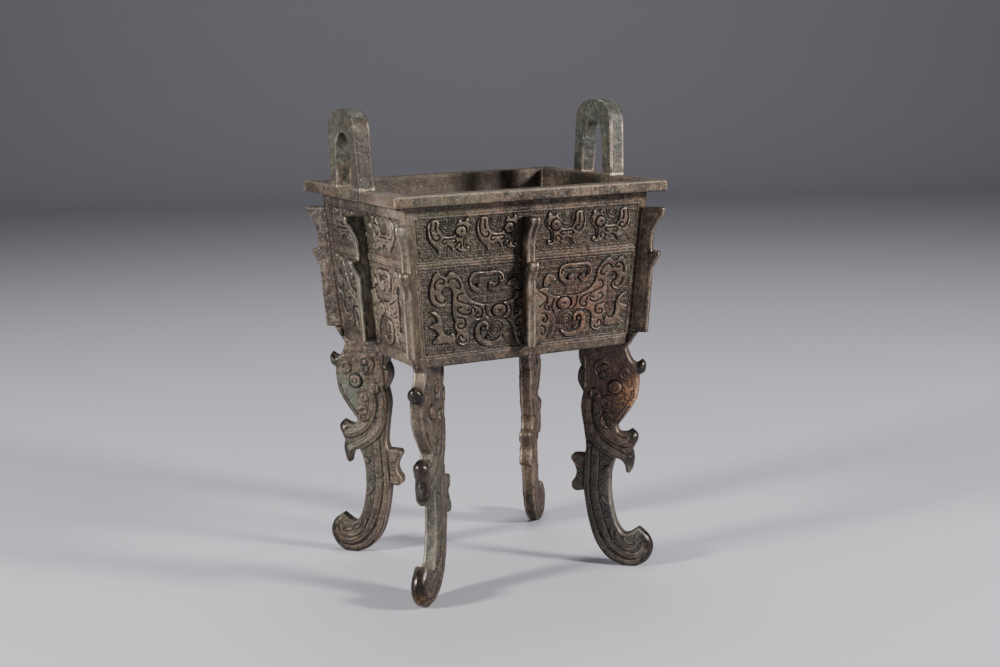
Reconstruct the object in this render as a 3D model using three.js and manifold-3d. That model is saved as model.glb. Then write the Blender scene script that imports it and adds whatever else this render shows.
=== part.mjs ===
// Square bronze ding: a box vessel on four flat dragon legs, cast in one piece.
// Millimetres. X runs along the long sides, Y along the short sides, Z is up.
// The origin lies on the floor, under the middle of the vessel.
import * as THREE from 'three';
import { mergeVertices } from 'three/addons/utils/BufferGeometryUtils.js';
import Module from 'manifold-3d';

const wasm = await Module();
wasm.setup();

// Main heights, one upon the other
const legHeight = 132;
const bodyHeight = 87.3;
const rimThickness = 6.1;

// Rim
const rimLengthX = 165;
const rimLengthY = 138.7;
const rimOverhang = 8.3;
const rimCornerRadius = 1.6;

// Vessel body, which narrows downwards
const bodyBottomX = 134;
const bodyBottomY = 111;
const wallAtTop = 2.8;
const wallAtBottom = 3.6;
const floorThickness = 4;

// Upright handles on the short sides
const handleWidthBase = 45;
const handleWidthShoulder = 40.4;
const handleHeight = 43.4;
const shoulderHeight = 30;
const shoulderSquareness = 2.4;
const handleThickness = 9.6;
const handleLean = 1.5;
const handleProud = 0.4;
const holeWidthBase = 24.6;
const holeWidthSpring = 20;
const holeSpringHeight = 19.5;
const holeHeight = 30.5;
const sillRise = 0.4;
const archSteps = 10;
const holeSteps = 8;

// Flanges: four on the corners, one in the middle of each side
const flangeThickness = 5.6;
const flangeFootGap = 7;
const flangeTopGap = 8.9;
const flangeRoot = 2.5;
const hookReach = 11;
const frontFlangeShift = -2.2;

// Legs: flat plates on the diagonals
const legThickness = 7.9;
const farRightTurn = 7;
const farRightShiftX = -5;

// Carving
const panelMargin = 5.5;
const bandRise = 55.4;
const bandWidth = 4;
const panelTopGap = 7;
const panelBottomGap = 6.5;
const groundDepth = 0.5;
const figureHeight = 1.1;
const eyeHeight = 1.6;
const legEyeHeight = 1.3;
const legRidgeHeight = 1;
const sink = 0.4;
const dragonSlimness = 1.08;
const dragonFill = 0.86;

// Making: how far solids reach into each other, and how far a cut reaches past a face
const overlap = 0.01;
const cutPast = 1;
const outlineSteps = 6;
const rimCornerSteps = 2;
const roundSteps = 4;

const bodyTopX = rimLengthX - 2 * rimOverhang;
const bodyTopY = rimLengthY - 2 * rimOverhang;
const bodyBottomZ = legHeight;
const bodyTopZ = bodyBottomZ + bodyHeight;
const rimTopZ = bodyTopZ + rimThickness;
const flangeBottomZ = bodyBottomZ + flangeFootGap;
const flangeTopZ = bodyTopZ - flangeTopGap;
const rimFlatWidth = rimOverhang + wallAtTop;

// A closed three.js geometry becomes a solid that can be joined and cut.
function solid(geometry) {
  const plain = geometry.clone();
  plain.deleteAttribute('normal');
  plain.deleteAttribute('uv');
  const merged = mergeVertices(plain, 1e-4);
  return new wasm.Manifold(new wasm.Mesh({
    numProp: 3,
    vertProperties: new Float32Array(merged.attributes.position.array),
    triVerts: new Uint32Array(merged.index.array),
  }));
}

function joined(solids) {
  let rest = solids;
  while (rest.length > 1) {
    const next = [];
    for (let i = 0; i < rest.length; i += 2) {
      next.push(i + 1 < rest.length ? rest[i].add(rest[i + 1]) : rest[i]);
    }
    rest = next;
  }
  return rest[0];
}

function geometryOf(manifold) {
  const mesh = manifold.getMesh();
  const geometry = new THREE.BufferGeometry();
  geometry.setAttribute('position', new THREE.BufferAttribute(mesh.vertProperties, mesh.numProp));
  geometry.setIndex(new THREE.BufferAttribute(mesh.triVerts, 1));
  geometry.computeVertexNormals();
  return geometry;
}

// A box whose sides slope evenly from its bottom size to its top size.
function taperedBox(bottomX, bottomY, topX, topY, lowZ, highZ) {
  const geometry = new THREE.BoxGeometry(1, 1, 1);
  const position = geometry.attributes.position;
  for (let i = 0; i < position.count; i += 1) {
    const high = position.getZ(i) > 0;
    position.setXYZ(
      i,
      position.getX(i) * (high ? topX : bottomX),
      position.getY(i) * (high ? topY : bottomY),
      high ? highZ : lowZ,
    );
  }
  return solid(geometry);
}

function extruded(shape, depth, curveSegments = outlineSteps) {
  return new THREE.ExtrudeGeometry(shape, { depth, bevelEnabled: false, curveSegments });
}

// An outline made of runs: each run is a smooth curve through its points, and runs meet at corners.
function outlineFrom(runs, scale = 1) {
  const outline = [];
  for (const [divisions, ...points] of runs) {
    const through = points.map(([a, b]) => new THREE.Vector2(a * scale, b * scale));
    const curve = through.length > 2 ? new THREE.SplineCurve(through) : new THREE.LineCurve(...through);
    outline.push(...curve.getPoints(divisions).slice(0, -1));
  }
  return new THREE.Shape(outline);
}

// A plate whose outline stands upright in the plane that runs outwards at an angle from a point.
function uprightPlate(shape, thickness, originX, originY, angle, curveSegments = outlineSteps) {
  const geometry = extruded(shape, thickness, curveSegments);
  geometry.translate(0, 0, -thickness / 2);
  geometry.rotateX(Math.PI / 2);
  geometry.rotateZ(angle);
  geometry.translate(originX, originY, 0);
  return geometry;
}

// A raised stroke: a smooth path of [x, y, width] points, widened to both sides.
function strokeShape(path, steps) {
  const middle = new THREE.CatmullRomCurve3(path.map(([x, y, w]) => new THREE.Vector3(x, y, w)));
  const left = [];
  const right = [];
  for (let i = 0; i <= steps; i += 1) {
    const at = middle.getPoint(i / steps);
    const ahead = middle.getTangent(i / steps);
    const along = new THREE.Vector2(ahead.x, ahead.y).normalize();
    const reach = at.z / 2;
    left.push(new THREE.Vector2(at.x - along.y * reach, at.y + along.x * reach));
    right.push(new THREE.Vector2(at.x + along.y * reach, at.y - along.x * reach));
  }
  return new THREE.Shape([...left, ...right.reverse()]);
}

// Rim: a flat plate with slightly rounded corners
function rimPlate() {
  const x = rimLengthX / 2 - rimCornerRadius;
  const y = rimLengthY / 2 - rimCornerRadius;
  const shape = new THREE.Shape();
  shape.absarc(x, y, rimCornerRadius, 0, Math.PI / 2);
  shape.absarc(-x, y, rimCornerRadius, Math.PI / 2, Math.PI);
  shape.absarc(-x, -y, rimCornerRadius, Math.PI, Math.PI * 1.5);
  shape.absarc(x, -y, rimCornerRadius, Math.PI * 1.5, Math.PI * 2);
  const geometry = extruded(shape, rimThickness, rimCornerSteps);
  geometry.translate(0, 0, bodyTopZ);
  return solid(geometry);
}

// Inner space of the vessel, open at the top
function cavity() {
  const innerBottomX = bodyBottomX - 2 * wallAtBottom;
  const innerBottomY = bodyBottomY - 2 * wallAtBottom;
  const innerTopX = rimLengthX - 2 * rimFlatWidth;
  const innerTopY = rimLengthY - 2 * rimFlatWidth;
  const floorZ = bodyBottomZ + floorThickness;
  const tapered = taperedBox(innerBottomX, innerBottomY, innerTopX, innerTopY, floorZ, bodyTopZ);
  const mouth = taperedBox(innerTopX, innerTopY, innerTopX, innerTopY, bodyTopZ - overlap, rimTopZ + cutPast);
  return tapered.add(mouth);
}

// A handle: an upright plate with a rounded top and a round-topped hole, leaning outwards a little
function archPoints(halfBase, halfSpring, footHeight, springHeight, topHeight, squareness, steps) {
  const points = [];
  for (let i = 0; i <= steps; i += 1) {
    const turn = (Math.PI * i) / steps;
    const across = Math.sign(Math.cos(turn)) * Math.abs(Math.cos(turn)) ** (2 / squareness);
    const up = Math.abs(Math.sin(turn)) ** (2 / squareness);
    const x = across * halfSpring;
    points.push(new THREE.Vector2(x, springHeight + up * (topHeight - springHeight)));
  }
  return [new THREE.Vector2(halfBase, footHeight), ...points, new THREE.Vector2(-halfBase, footHeight)];
}

function handle(side) {
  const outer = archPoints(
    handleWidthBase / 2, handleWidthShoulder / 2, 0, shoulderHeight,
    handleHeight, shoulderSquareness, archSteps,
  );
  const halfBase = handleWidthBase / 2;
  outer.unshift(new THREE.Vector2(halfBase, -rimThickness));
  outer.push(new THREE.Vector2(-halfBase, -rimThickness));
  const shape = new THREE.Shape(outer);
  shape.holes.push(new THREE.Path(archPoints(
    holeWidthBase / 2, holeWidthSpring / 2, sillRise, holeSpringHeight, holeHeight, 2, holeSteps,
  )));
  const geometry = extruded(shape, handleThickness);
  geometry.rotateX(Math.PI / 2);
  geometry.rotateZ(side > 0 ? Math.PI / 2 : -Math.PI / 2);
  geometry.translate(side * (rimLengthX / 2 + handleProud - handleThickness), 0, rimTopZ);
  const position = geometry.attributes.position;
  for (let i = 0; i < position.count; i += 1) {
    const lean = (handleLean * Math.max(0, position.getZ(i) - rimTopZ)) / handleHeight;
    position.setX(i, position.getX(i) + side * lean);
  }
  return solid(geometry);
}

// A flange's hooked edge: outwards as hundredths of the hooks' reach, upwards as hundredths of its height
const flangeEdge = [
  [73.7, 0],
  [68.8, 35.3],
  [65.2, 50.8],
  [82, 56.4],
  [100, 62.5],
  [96, 65],
  [58.1, 65.8],
  [55.3, 72.5],
  [58.1, 81.8],
  [76, 88.8],
  [100, 94.4],
  [102, 98],
  [96, 99.7],
];

function flangeShape(rootBottom, rootTop) {
  const height = flangeTopZ - flangeBottomZ;
  const points = flangeEdge.map(([out, up]) => new THREE.Vector2(
    rootBottom + ((rootTop - rootBottom) * up + hookReach * out) / 100,
    flangeBottomZ + (height * up) / 100,
  ));
  points.push(new THREE.Vector2(rootTop - flangeRoot, flangeTopZ));
  points.push(new THREE.Vector2(rootBottom - flangeRoot, flangeBottomZ));
  return new THREE.Shape(points);
}

// How far the body's side stands out at a height, beyond its bottom edge
function sideGrowth(topSize, bottomSize, z) {
  return (((topSize - bottomSize) / 2) * (z - bodyBottomZ)) / bodyHeight;
}

function flange(angle, originX, originY, growth) {
  const shape = flangeShape(growth(flangeBottomZ), growth(flangeTopZ));
  return solid(uprightPlate(shape, flangeThickness, originX, originY, angle));
}

const growthX = (z) => sideGrowth(bodyTopX, bodyBottomX, z);
const growthY = (z) => sideGrowth(bodyTopY, bodyBottomY, z);
const growthCorner = (z) => (growthX(z) + growthY(z)) * Math.SQRT1_2;

// The far right leg was cast a little out of line: turned, and set back along the long side.
const corners = [
  { x: -1, y: -1, angle: -0.75 * Math.PI, legTurn: 0, legShiftX: 0 },
  { x: 1, y: -1, angle: -0.25 * Math.PI, legTurn: 0, legShiftX: 0 },
  { x: 1, y: 1, angle: 0.25 * Math.PI, legTurn: farRightTurn, legShiftX: farRightShiftX },
  { x: -1, y: 1, angle: 0.75 * Math.PI, legTurn: 0, legShiftX: 0 },
];

function flanges() {
  const bottomX = bodyBottomX / 2;
  const bottomY = bodyBottomY / 2;
  return [
    ...corners.map(({ x, y, angle }) => flange(angle, x * bottomX, y * bottomY, growthCorner)),
    flange(-Math.PI / 2, frontFlangeShift, -bottomY, growthY),
    flange(Math.PI / 2, 0, bottomY, growthY),
    flange(0, bottomX, 0, growthX),
    flange(Math.PI, -bottomX, 0, growthX),
  ];
}

// A leg's outline: outwards from the body's corner and up from the floor, as hundredths of its height.
// It is a dragon with its head up, its jaws open outwards, a fin on its back and its tail curled outwards.
const percent = legHeight / 100;
const legRuns = [
  [1, [2.6, 105.3], [-2.3, 98.2]],
  [4, [-2.3, 98.2], [-0.9, 94.4], [1.4, 91.9], [4.5, 93.8]],
  [4, [4.5, 93.8], [6, 91.5], [5.5, 88], [3.1, 86.4]],
  [4, [3.1, 86.4], [2.3, 78.8], [1, 74.5], [-2.7, 68.6], [-6.7, 63.3]],
  [3, [-6.7, 63.3], [-5.8, 60.9], [-2.7, 60.9], [-0.2, 62.6]],
  [4, [-0.2, 62.6], [2.2, 60.4], [2.4, 57.6], [0.2, 53.3]],
  [3, [0.2, 53.3], [0.9, 49.2], [-0.2, 45.1], [-2.1, 42.3]],
  [2, [-2.1, 42.3], [-4.1, 45.8], [-7.4, 48.8]],
  [8, [-7.4, 48.8], [-9.7, 41.7], [-9.7, 30.3], [-7.6, 20.1], [-4.7, 15.3], [-2, 15], [2.4, 18]],
  [5, [2.4, 18], [7.1, 14.5], [8.9, 8.8], [6.2, 2.7], [1.2, 0]],
  [1, [1.2, 0], [-4.8, 0]],
  [5, [-4.8, 0], [-11.7, 3.5], [-17, 10.6], [-20.2, 21.2], [-22.1, 33.5]],
  [4, [-22.1, 33.5], [-26.1, 33.3], [-27.9, 36.8], [-25.9, 41.4]],
  [4, [-25.9, 41.4], [-28, 45.5], [-27, 49.8], [-21.5, 50]],
  [4, [-21.5, 50], [-20.8, 53.8], [-21.7, 62.1], [-22.9, 71.2], [-21.8, 78.2]],
  [3, [-21.8, 78.2], [-24.1, 83], [-23.9, 87.1], [-22.6, 90]],
  [2, [-22.6, 90], [-23.6, 93.9], [-23.3, 100]],
  [1, [-23.3, 100], [-23.3, 101.8]],
  [1, [-23.3, 101.8], [-1.5, 101.8]],
  [1, [-1.5, 101.8], [-1.5, 105.3]],
  [1, [-1.5, 105.3], [2.6, 105.3]],
];

// Raised work on a leg, in the same hundredths: [outwards, up, width] along each stroke
const legEye = { out: -7.2, up: 81.6, radius: 3.3 };
const legStrokes = [
  { steps: 6, path: [[-19.2, 77, 3], [-20, 66, 3.4], [-16.5, 56.5, 4], [-8, 50.5, 3.6], [-3, 44.6, 2]] },
  { steps: 6, path: [[-14.8, 77, 3], [-15.2, 68.5, 3.2], [-11.5, 60.5, 3.4], [-5, 57, 3.2],
    [1, 60.2, 1.6]] },
  { steps: 5, path: [[-18.5, 53, 3], [-18.3, 40, 3], [-16.2, 24, 3], [-10.5, 10.5, 3], [-2, 5.2, 2.4],
    [4, 10, 1.4]] },
];

function leg({ x, y, angle, legTurn, legShiftX }) {
  const originX = (x * bodyBottomX) / 2 + legShiftX;
  const originY = (y * bodyBottomY) / 2;
  const turned = angle + THREE.MathUtils.degToRad(legTurn);
  const outline = outlineFrom(legRuns, percent);
  const parts = [solid(uprightPlate(outline, legThickness, originX, originY, turned))];
  const disc = new THREE.Shape();
  disc.absarc(legEye.out * percent, legEye.up * percent, legEye.radius * percent, 0, 2 * Math.PI);
  parts.push(solid(uprightPlate(disc, legThickness + 2 * legEyeHeight, originX, originY, turned, roundSteps)));
  for (const { steps, path } of legStrokes) {
    const stroke = strokeShape(path.map((point) => point.map((share) => share * percent)), steps);
    parts.push(solid(uprightPlate(stroke, legThickness + 2 * legRidgeHeight, originX, originY, turned)));
  }
  return joined(parts);
}

// Each side of the body has its own flat frame: across, up its slope, and outwards from its face.
const longSide = {
  width: bodyBottomX, topWidth: bodyTopX, depth: bodyBottomY, topDepth: bodyTopY, dragons: 2,
};
const shortSide = {
  width: bodyBottomY, topWidth: bodyTopY, depth: bodyBottomX, topDepth: bodyTopX, dragons: 1,
};
const sides = [
  { ...longSide, turn: 0, middle: frontFlangeShift },
  { ...shortSide, turn: 0.5, middle: 0 },
  { ...longSide, turn: 1, middle: 0 },
  { ...shortSide, turn: 1.5, middle: 0 },
];

function onSide(side, geometry) {
  const lean = Math.atan2((side.topDepth - side.depth) / 2, bodyHeight);
  geometry.rotateX(Math.PI / 2 + lean);
  geometry.translate(0, -side.depth / 2, bodyBottomZ);
  geometry.rotateZ(side.turn * Math.PI);
  return solid(geometry);
}

// Sunk grounds: an upper and a lower field on each half of a side, with the plain frame left between
function registers(side) {
  const low = { from: panelBottomGap, to: bandRise - bandWidth / 2 };
  const high = { from: bandRise + bandWidth / 2, to: bodyHeight - panelTopGap };
  const growthAt = (up) => sideGrowth(side.topWidth, side.width, bodyBottomZ + up);
  const halfWidthAt = (up) => side.width / 2 - panelMargin + growthAt(up);
  return { low, high, halfWidthAt };
}

function grounds(side) {
  const { low, high, halfWidthAt } = registers(side);
  return [low, high].map(({ from, to }) => {
    const shape = new THREE.Shape([
      new THREE.Vector2(-halfWidthAt(from), from),
      new THREE.Vector2(halfWidthAt(from), from),
      new THREE.Vector2(halfWidthAt(to), to),
      new THREE.Vector2(-halfWidthAt(to), to),
    ]);
    const geometry = extruded(shape, groundDepth + cutPast);
    geometry.translate(0, 0, -groundDepth);
    return onSide(side, geometry);
  });
}

// The small dragon of the upper field: hundredths of its own length, from its middle, with its head inwards
const dragonEye = [-24, 10, 11];
const dragonStrokes = [
  { steps: 3, path: [[-36, 22, 8], [-38, -4, 9], [-42, -22, 9], [-30, -29, 8], [-19, -24, 6]] },
  { steps: 3, path: [[-26, 4, 22], [-6, -4, 13], [14, -4, 12], [29, 6, 10]] },
  { steps: 5, path: [[30, 10, 9], [34, 30, 9], [46, 20, 10], [46, 2, 10], [36, -14, 11], [26, -33, 8]] },
  { steps: 3, path: [[-8, -32, 7], [2, -16, 7], [12, -16, 7], [20, -30, 7]] },
];

// The half mask of the lower field: hundredths of the field's half width and of its height
const maskEye = [33, 43, 8.5];
const maskStrokes = [
  { steps: 8, path: [[12, 47, 14], [33, 47, 17], [52, 49, 15], [64, 60, 14], [71, 78, 14], [80, 89, 13],
    [91, 84, 12], [94, 70, 10], [87, 60, 8], [81, 65, 5]] },
  { steps: 6, path: [[29, 69, 5], [24, 79, 6], [28, 90, 6], [42, 93, 6], [55, 91, 6], [56, 79, 6], [49, 70, 5],
    [43, 74, 4]] },
  { steps: 4, path: [[88, 48, 3], [84, 34, 8], [82, 20, 10], [72, 16, 11], [60, 24, 10], [60, 46, 11]] },
  { steps: 4, path: [[47, 32, 5], [44, 16, 6], [34, 8, 6], [24, 12, 6], [17, 24, 6], [14, 42, 6]] },
  { steps: 3, path: [[6, 86, 5], [16, 80, 6], [17, 73, 5], [10, 68, 3]] },
];

function raised(side, shape, height = figureHeight) {
  const geometry = extruded(shape, height + groundDepth + sink, roundSteps);
  geometry.translate(0, 0, -groundDepth - sink);
  return onSide(side, geometry);
}

// A round eye stands higher than the strokes around it.
function eye(side, centreX, centreY, radius) {
  const shape = new THREE.Shape();
  shape.absarc(centreX, centreY, radius, 0, 2 * Math.PI);
  return raised(side, shape, eyeHeight);
}

function carving(side) {
  const { low, high, halfWidthAt } = registers(side);
  const made = [];
  const draw = (strokes, eyeAt, point) => {
    for (const { steps, path } of strokes) {
      made.push(raised(side, strokeShape(path.map((p) => point(...p)), steps)));
    }
    made.push(eye(side, ...point(...eyeAt)));
  };
  for (const hand of [-1, 1]) {
    const inner = side.middle * hand + flangeThickness / 2;
    const maskSpan = halfWidthAt((low.from + low.to) / 2) - inner;
    const maskUnit = (low.to - low.from) / 100;
    draw(maskStrokes, maskEye, (across, up, width) => [
      hand * (inner + (maskSpan * across) / 100),
      low.from + up * maskUnit,
      width * maskUnit,
    ]);
    const dragonSpan = (halfWidthAt((high.from + high.to) / 2) - inner) / side.dragons;
    const unit = Math.min((high.to - high.from) * dragonSlimness, dragonSpan * dragonFill) / 100;
    for (let i = 0; i < side.dragons; i += 1) {
      const middleX = inner + dragonSpan * (i + 0.5);
      const middleY = (high.from + high.to) / 2;
      draw(dragonStrokes, dragonEye, (across, up, width) => [
        hand * (middleX + across * unit),
        middleY + up * unit,
        width * unit,
      ]);
    }
  }
  return made;
}

function vessel() {
  const body = taperedBox(bodyBottomX, bodyBottomY, bodyTopX, bodyTopY, bodyBottomZ, bodyTopZ + overlap);
  const sunk = body.subtract(joined(sides.flatMap(grounds)));
  const whole = joined([
    sunk,
    rimPlate(),
    handle(-1),
    handle(1),
    ...flanges(),
    ...corners.map(leg),
    joined(sides.flatMap(carving)),
  ]);
  return whole.subtract(cavity());
}

const bronze = new THREE.MeshStandardMaterial({ color: 0x4a4540, roughness: 0.62, metalness: 0.85 });

const ding = new THREE.Group();
const casting = new THREE.Mesh(geometryOf(vessel()), bronze);
casting.name = 'bronze_ding';
ding.add(casting);

export default ding;
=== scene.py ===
import math

import bpy
import numpy as np
from mathutils import Matrix, Vector
from mathutils.geometry import delaunay_2d_cdt


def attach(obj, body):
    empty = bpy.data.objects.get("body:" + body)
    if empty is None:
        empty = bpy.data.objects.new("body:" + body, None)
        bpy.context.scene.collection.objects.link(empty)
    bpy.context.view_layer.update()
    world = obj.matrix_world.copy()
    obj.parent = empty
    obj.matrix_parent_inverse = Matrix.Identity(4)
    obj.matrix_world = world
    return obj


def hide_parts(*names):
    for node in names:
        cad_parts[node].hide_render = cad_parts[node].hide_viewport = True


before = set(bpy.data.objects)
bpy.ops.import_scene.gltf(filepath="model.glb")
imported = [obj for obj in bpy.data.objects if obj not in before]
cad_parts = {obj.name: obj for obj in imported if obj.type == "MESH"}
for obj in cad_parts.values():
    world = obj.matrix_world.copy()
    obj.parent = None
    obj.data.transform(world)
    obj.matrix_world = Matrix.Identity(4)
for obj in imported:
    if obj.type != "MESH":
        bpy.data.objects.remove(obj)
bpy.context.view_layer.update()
print("frame loaded")

# Square bronze ding. Sizes are in millimetres and turned to metres when a mesh is made.
# X runs along the long sides, Y to the back, Z up from the floor.
mm = 0.001
body = {
    "bottomX": 134, "bottomY": 111, "bottomZ": 132,
    "topX": 148.4, "topY": 122.1, "topZ": 219.3,
    "frontFlangeShift": -2.2,
}


def linear(code):
    # sRGB hex to the linear colour that a shader takes
    parts = [int(code[i:i + 2], 16) / 255 for i in (1, 3, 5)]
    return [c / 12.92 if c <= 0.04045 else ((c + 0.055) / 1.055) ** 2.4 for c in parts] + [1.0]


def smoothStep(low, high, value):
    t = np.clip((value - low) / (high - low), 0, 1)
    return t * t * (3 - 2 * t)


def ridge(value, middle, wide, narrow):
    # 1 along the middle value, falling to 0 at that distance from it
    return smoothStep(wide, narrow, np.abs(value - middle))


def softNoise(a, b, size, seed):
    # smooth random values from -1 to 1 that change over about that many millimetres
    count = 128  # cells each way before the values repeat
    grid = np.random.default_rng(seed).uniform(-1, 1, (count, count))
    x, y = np.asarray(a) / size + count / 2, np.asarray(b) / size + count / 2
    i, j = np.floor(x).astype(int), np.floor(y).astype(int)
    fx, fy = smoothStep(0, 1, x - i), smoothStep(0, 1, y - j)
    def at(di, dj):
        return grid[(i + di) % count, (j + dj) % count]
    low = at(0, 0) * (1 - fx) + at(1, 0) * fx
    high = at(0, 1) * (1 - fx) + at(1, 1) * fx
    return low * (1 - fy) + high * fy


def castWaves(a, b, waves):
    # the unevenness of a casting; each wave is (size, height, seed)
    return sum(height * softNoise(a, b, size, seed) for size, height, seed in waves)


def castPits(a, b, size, rare, seed):
    return smoothStep(rare, 0.95, softNoise(a, b, size, seed))


def smoothPath(points, step=0.45, closed=False):
    # a curve through the points; a third value, such as a width, runs smoothly along it too
    p = np.array(points, float)
    n = len(p)
    out = []
    spans = n if closed else n - 1
    for k in range(spans):
        if closed:
            a, b, c, d = p[(k - 1) % n], p[k], p[(k + 1) % n], p[(k + 2) % n]
        else:
            a, b, c, d = p[max(k - 1, 0)], p[k], p[k + 1], p[min(k + 2, n - 1)]
        count = max(1, int(math.ceil(np.linalg.norm((c - b)[:2]) / step)))
        t = (np.arange(count) / count)[:, None]
        out.append(0.5 * (2 * b + (c - a) * t + (2 * a - 5 * b + 4 * c - d) * t**2
                          + (3 * b - a - 3 * c + d) * t**3))
    if not closed:
        out.append(p[-1:])
    return np.vstack(out)


def strokeDistance(at, path, width=0.0, reach=3.0, closed=False):
    # distance from each point to the edge of a line of that width, negative inside it
    path = np.asarray(path, float)
    half = path[:, 2] / 2 if path.shape[1] > 2 else np.full(len(path), width / 2)
    line = path[:, :2]
    low, high = line.min(0) - half.max() - reach, line.max(0) + half.max() + reach
    near = np.nonzero(((at > low) & (at < high)).all(1))[0]
    some = at[near]
    best = np.full(len(near), reach)
    count = len(line)
    for k in range(count if closed else count - 1):
        a, b = line[k], line[(k + 1) % count]
        run = b - a
        t = np.clip(((some - a) @ run) / max(run @ run, 1e-9), 0, 1)
        gap = np.hypot(some[:, 0] - a[0] - t * run[0], some[:, 1] - a[1] - t * run[1])
        best = np.minimum(best, gap - half[k] - t * (half[(k + 1) % count] - half[k]))
    result = np.full(len(at), reach)
    result[near] = best
    return result


def insideOf(at, loop):
    # which of the points lie inside a closed outline
    odd = np.zeros(len(at), bool)
    for (ax, ay), (bx, by) in zip(loop, np.roll(loop, -1, 0)):
        rows = np.nonzero((ay > at[:, 1]) != (by > at[:, 1]))[0]
        if len(rows):
            cut = (bx - ax) * (at[rows, 1] - ay) / (by - ay) + ax
            odd[rows] ^= at[rows, 0] < cut
    return odd


def regionDistance(at, outline, reach=3.0):
    # distance to a closed outline, negative inside
    loop = smoothPath(outline, closed=True)
    gap = strokeDistance(at, loop, reach=reach, closed=True)
    return np.where(insideOf(at, loop), -gap, gap)


def makePiece(name, points, faces, attributes, material, sharpAngle=52):
    mesh = bpy.data.meshes.new(name)
    mesh.from_pydata((np.asarray(points) * mm).tolist(), [], faces)
    for key, values in attributes.items():
        mesh.attributes.new(key, "FLOAT", "POINT").data.foreach_set("value", np.asarray(values, np.float32))
    mesh.materials.append(material)
    mesh.shade_smooth()
    mesh.set_sharp_from_angle(angle=math.radians(sharpAngle))
    mesh.validate()
    piece = bpy.data.objects.new(name, mesh)
    bpy.context.scene.collection.objects.link(piece)
    return piece


def finishPiece(piece):
    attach(piece, "root")
    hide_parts("bronze_ding")
    mesh = piece.data
    mesh.calc_loop_triangles()
    print(piece.name, len(mesh.loop_triangles), "triangles")


# Camera, first of all: it stands where the photograph was taken from.
camera = {"place": (-379.8, -779.3, 296.9), "yaw": 26.60, "pitch": 10.52, "roll": -1.243, "lens": 54.47}


def placeCamera():
    yaw, pitch, roll = (math.radians(camera[k]) for k in ("yaw", "pitch", "roll"))
    ahead = Vector((math.sin(yaw) * math.cos(pitch), math.cos(yaw) * math.cos(pitch), -math.sin(pitch)))
    right = Vector((math.cos(yaw), -math.sin(yaw), 0))
    up = right.cross(ahead)
    across = right * math.cos(roll) + up * math.sin(roll)
    above = -right * math.sin(roll) + up * math.cos(roll)
    data = bpy.data.cameras.new("photoCamera")
    data.sensor_width, data.lens = 36, camera["lens"]
    data.clip_start, data.clip_end = 0.01, 50
    thing = bpy.data.objects.new("photoCamera", data)
    turn = Matrix((across, above, -ahead)).transposed().to_4x4()
    thing.matrix_world = Matrix.Translation(Vector(camera["place"]) * mm) @ turn
    bpy.context.scene.collection.objects.link(thing)
    bpy.context.scene.camera = thing


placeCamera()
print("camera placed")

# Materials
# Colours: #090706 is painted shade for the hollows, #262120 a painted dark reflection on polished tips, and
# #988a7c, for worn edges, is partly wear and partly painted highlight.
patina = {
    "dark": "#29241f", "light": "#57493d", "soil": "#3a2b12", "polishedDarkReflection": "#262120", "rust": "#553b2b",
    "verdigris": "#465648", "dust": "#958776", "wornAndHighlit": "#988a7c", "paintedShade": "#090706",
}
# Patterns in the surface: size in mm, detail, roughness, and how drawn out they are upwards
patterns = {
    "cloud": (24, 4, 0.6, 1), "blotch": (6, 5, 0.65, 1), "spots": (3.4, 5, 0.75, 1),
    "grain": (1.5, 5, 0.7, 1), "specks": (1.0, 3, 0.7, 1), "pits": (0.8, 2, 0.6, 1),
    "streaks": (1.6, 5, 0.7, 5),
}
# Depth of the bump in mm, and where a patch starts and is full, in its own radii with the wobble added
coating = {"bumpDepth": 0.3, "patchStart": 2.15, "patchFull": 1.4}
# Coloured patches: colour, middle in mm, radius in mm, strength, how metallic it stays, what breaks it up
patches = [
    ("#4d5244", (-84, 8, 176), 50, 0.6, 0.2),
    ("#8a7366", (-76, -34, 178), 42, 0.6, 0.2),
    ("#7d6a5c", (-74, -40, 150), 34, 0.5, 0.2),
    ("#8f7c70", (-76, -46, 212), 30, 0.6, 0.2),
    ("#86847c", (-80, -66, 208), 13, 0.35, 0.3),
    ("#35382f", (-92, -18, 222), 60, 0.5, 0.35),
    ("#3d423a", (-102, 6, 254), 48, 0.85, 0.2),
    ("#38322f", (-76, -24, 246), 34, 0.8, 0.35),
    # painted shade: darkens the top of the left handle
    ("#2b291f", (-79, -13, 271), 26, 0.85, 0.25),
    ("#2f3733", (84, 0, 252), 66, 0.8, 0.3),
    ("#86684f", (80, 0, 226), 14, 0.5, 0.4),
    ("#454430", (-52, -60, 208), 36, 0.5, 0.3),
    ("#56362a", (34, -58, 158), 38, 0.6, 0.35),
    ("#7a5238", (31, -58, 150), 15, 0.4, 0.35),
    ("#4a3420", (18, -58, 186), 32, 0.45, 0.4),
    ("#45463a", (-76, 62, 60), 74, 0.6, 0.2),
    ("#3f5046", (-68, 56, 98), 22, 0.5, 0.15),
    ("#43463d", (-66, -55, 50), 70, 0.7, 0.25),
    ("#403a2c", (-66, -60, 172), 52, 0.5, 0.3),
    ("#3f3a32", (-38, -60, 128), 40, 0.5, 0.35),
    ("#3c3a33", (42, -60, 126), 40, 0.5, 0.35),
    ("#4a302a", (60, -49, 113), 26, 0.75, 0.35),
    ("#4d5250", (63, -52, 36), 56, 0.5, 0.3),
    ("#8d7c6e", (72, -60, 119), 9, 0.8, 0.1),
    ("#e0a878", (68, -57, 102), 16, 1.0, 0.9, "glints"),
    ("#94765c", (-80, -66, 222), 11, 0.7, 0.5, "glints"),
    ("#a8824a", (-75, -64, 1), 12, 0.85, 0.8, "glints"),
    ("#70503a", (66, 66, 60), 60, 0.35, 0.4),
    ("#2d2520", (-12, 62, 216), 120, 0.8, 0.35),
    ("#5c4a30", (0, 56, 208), 44, 0.6, 0.3, "glints"),
]
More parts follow.
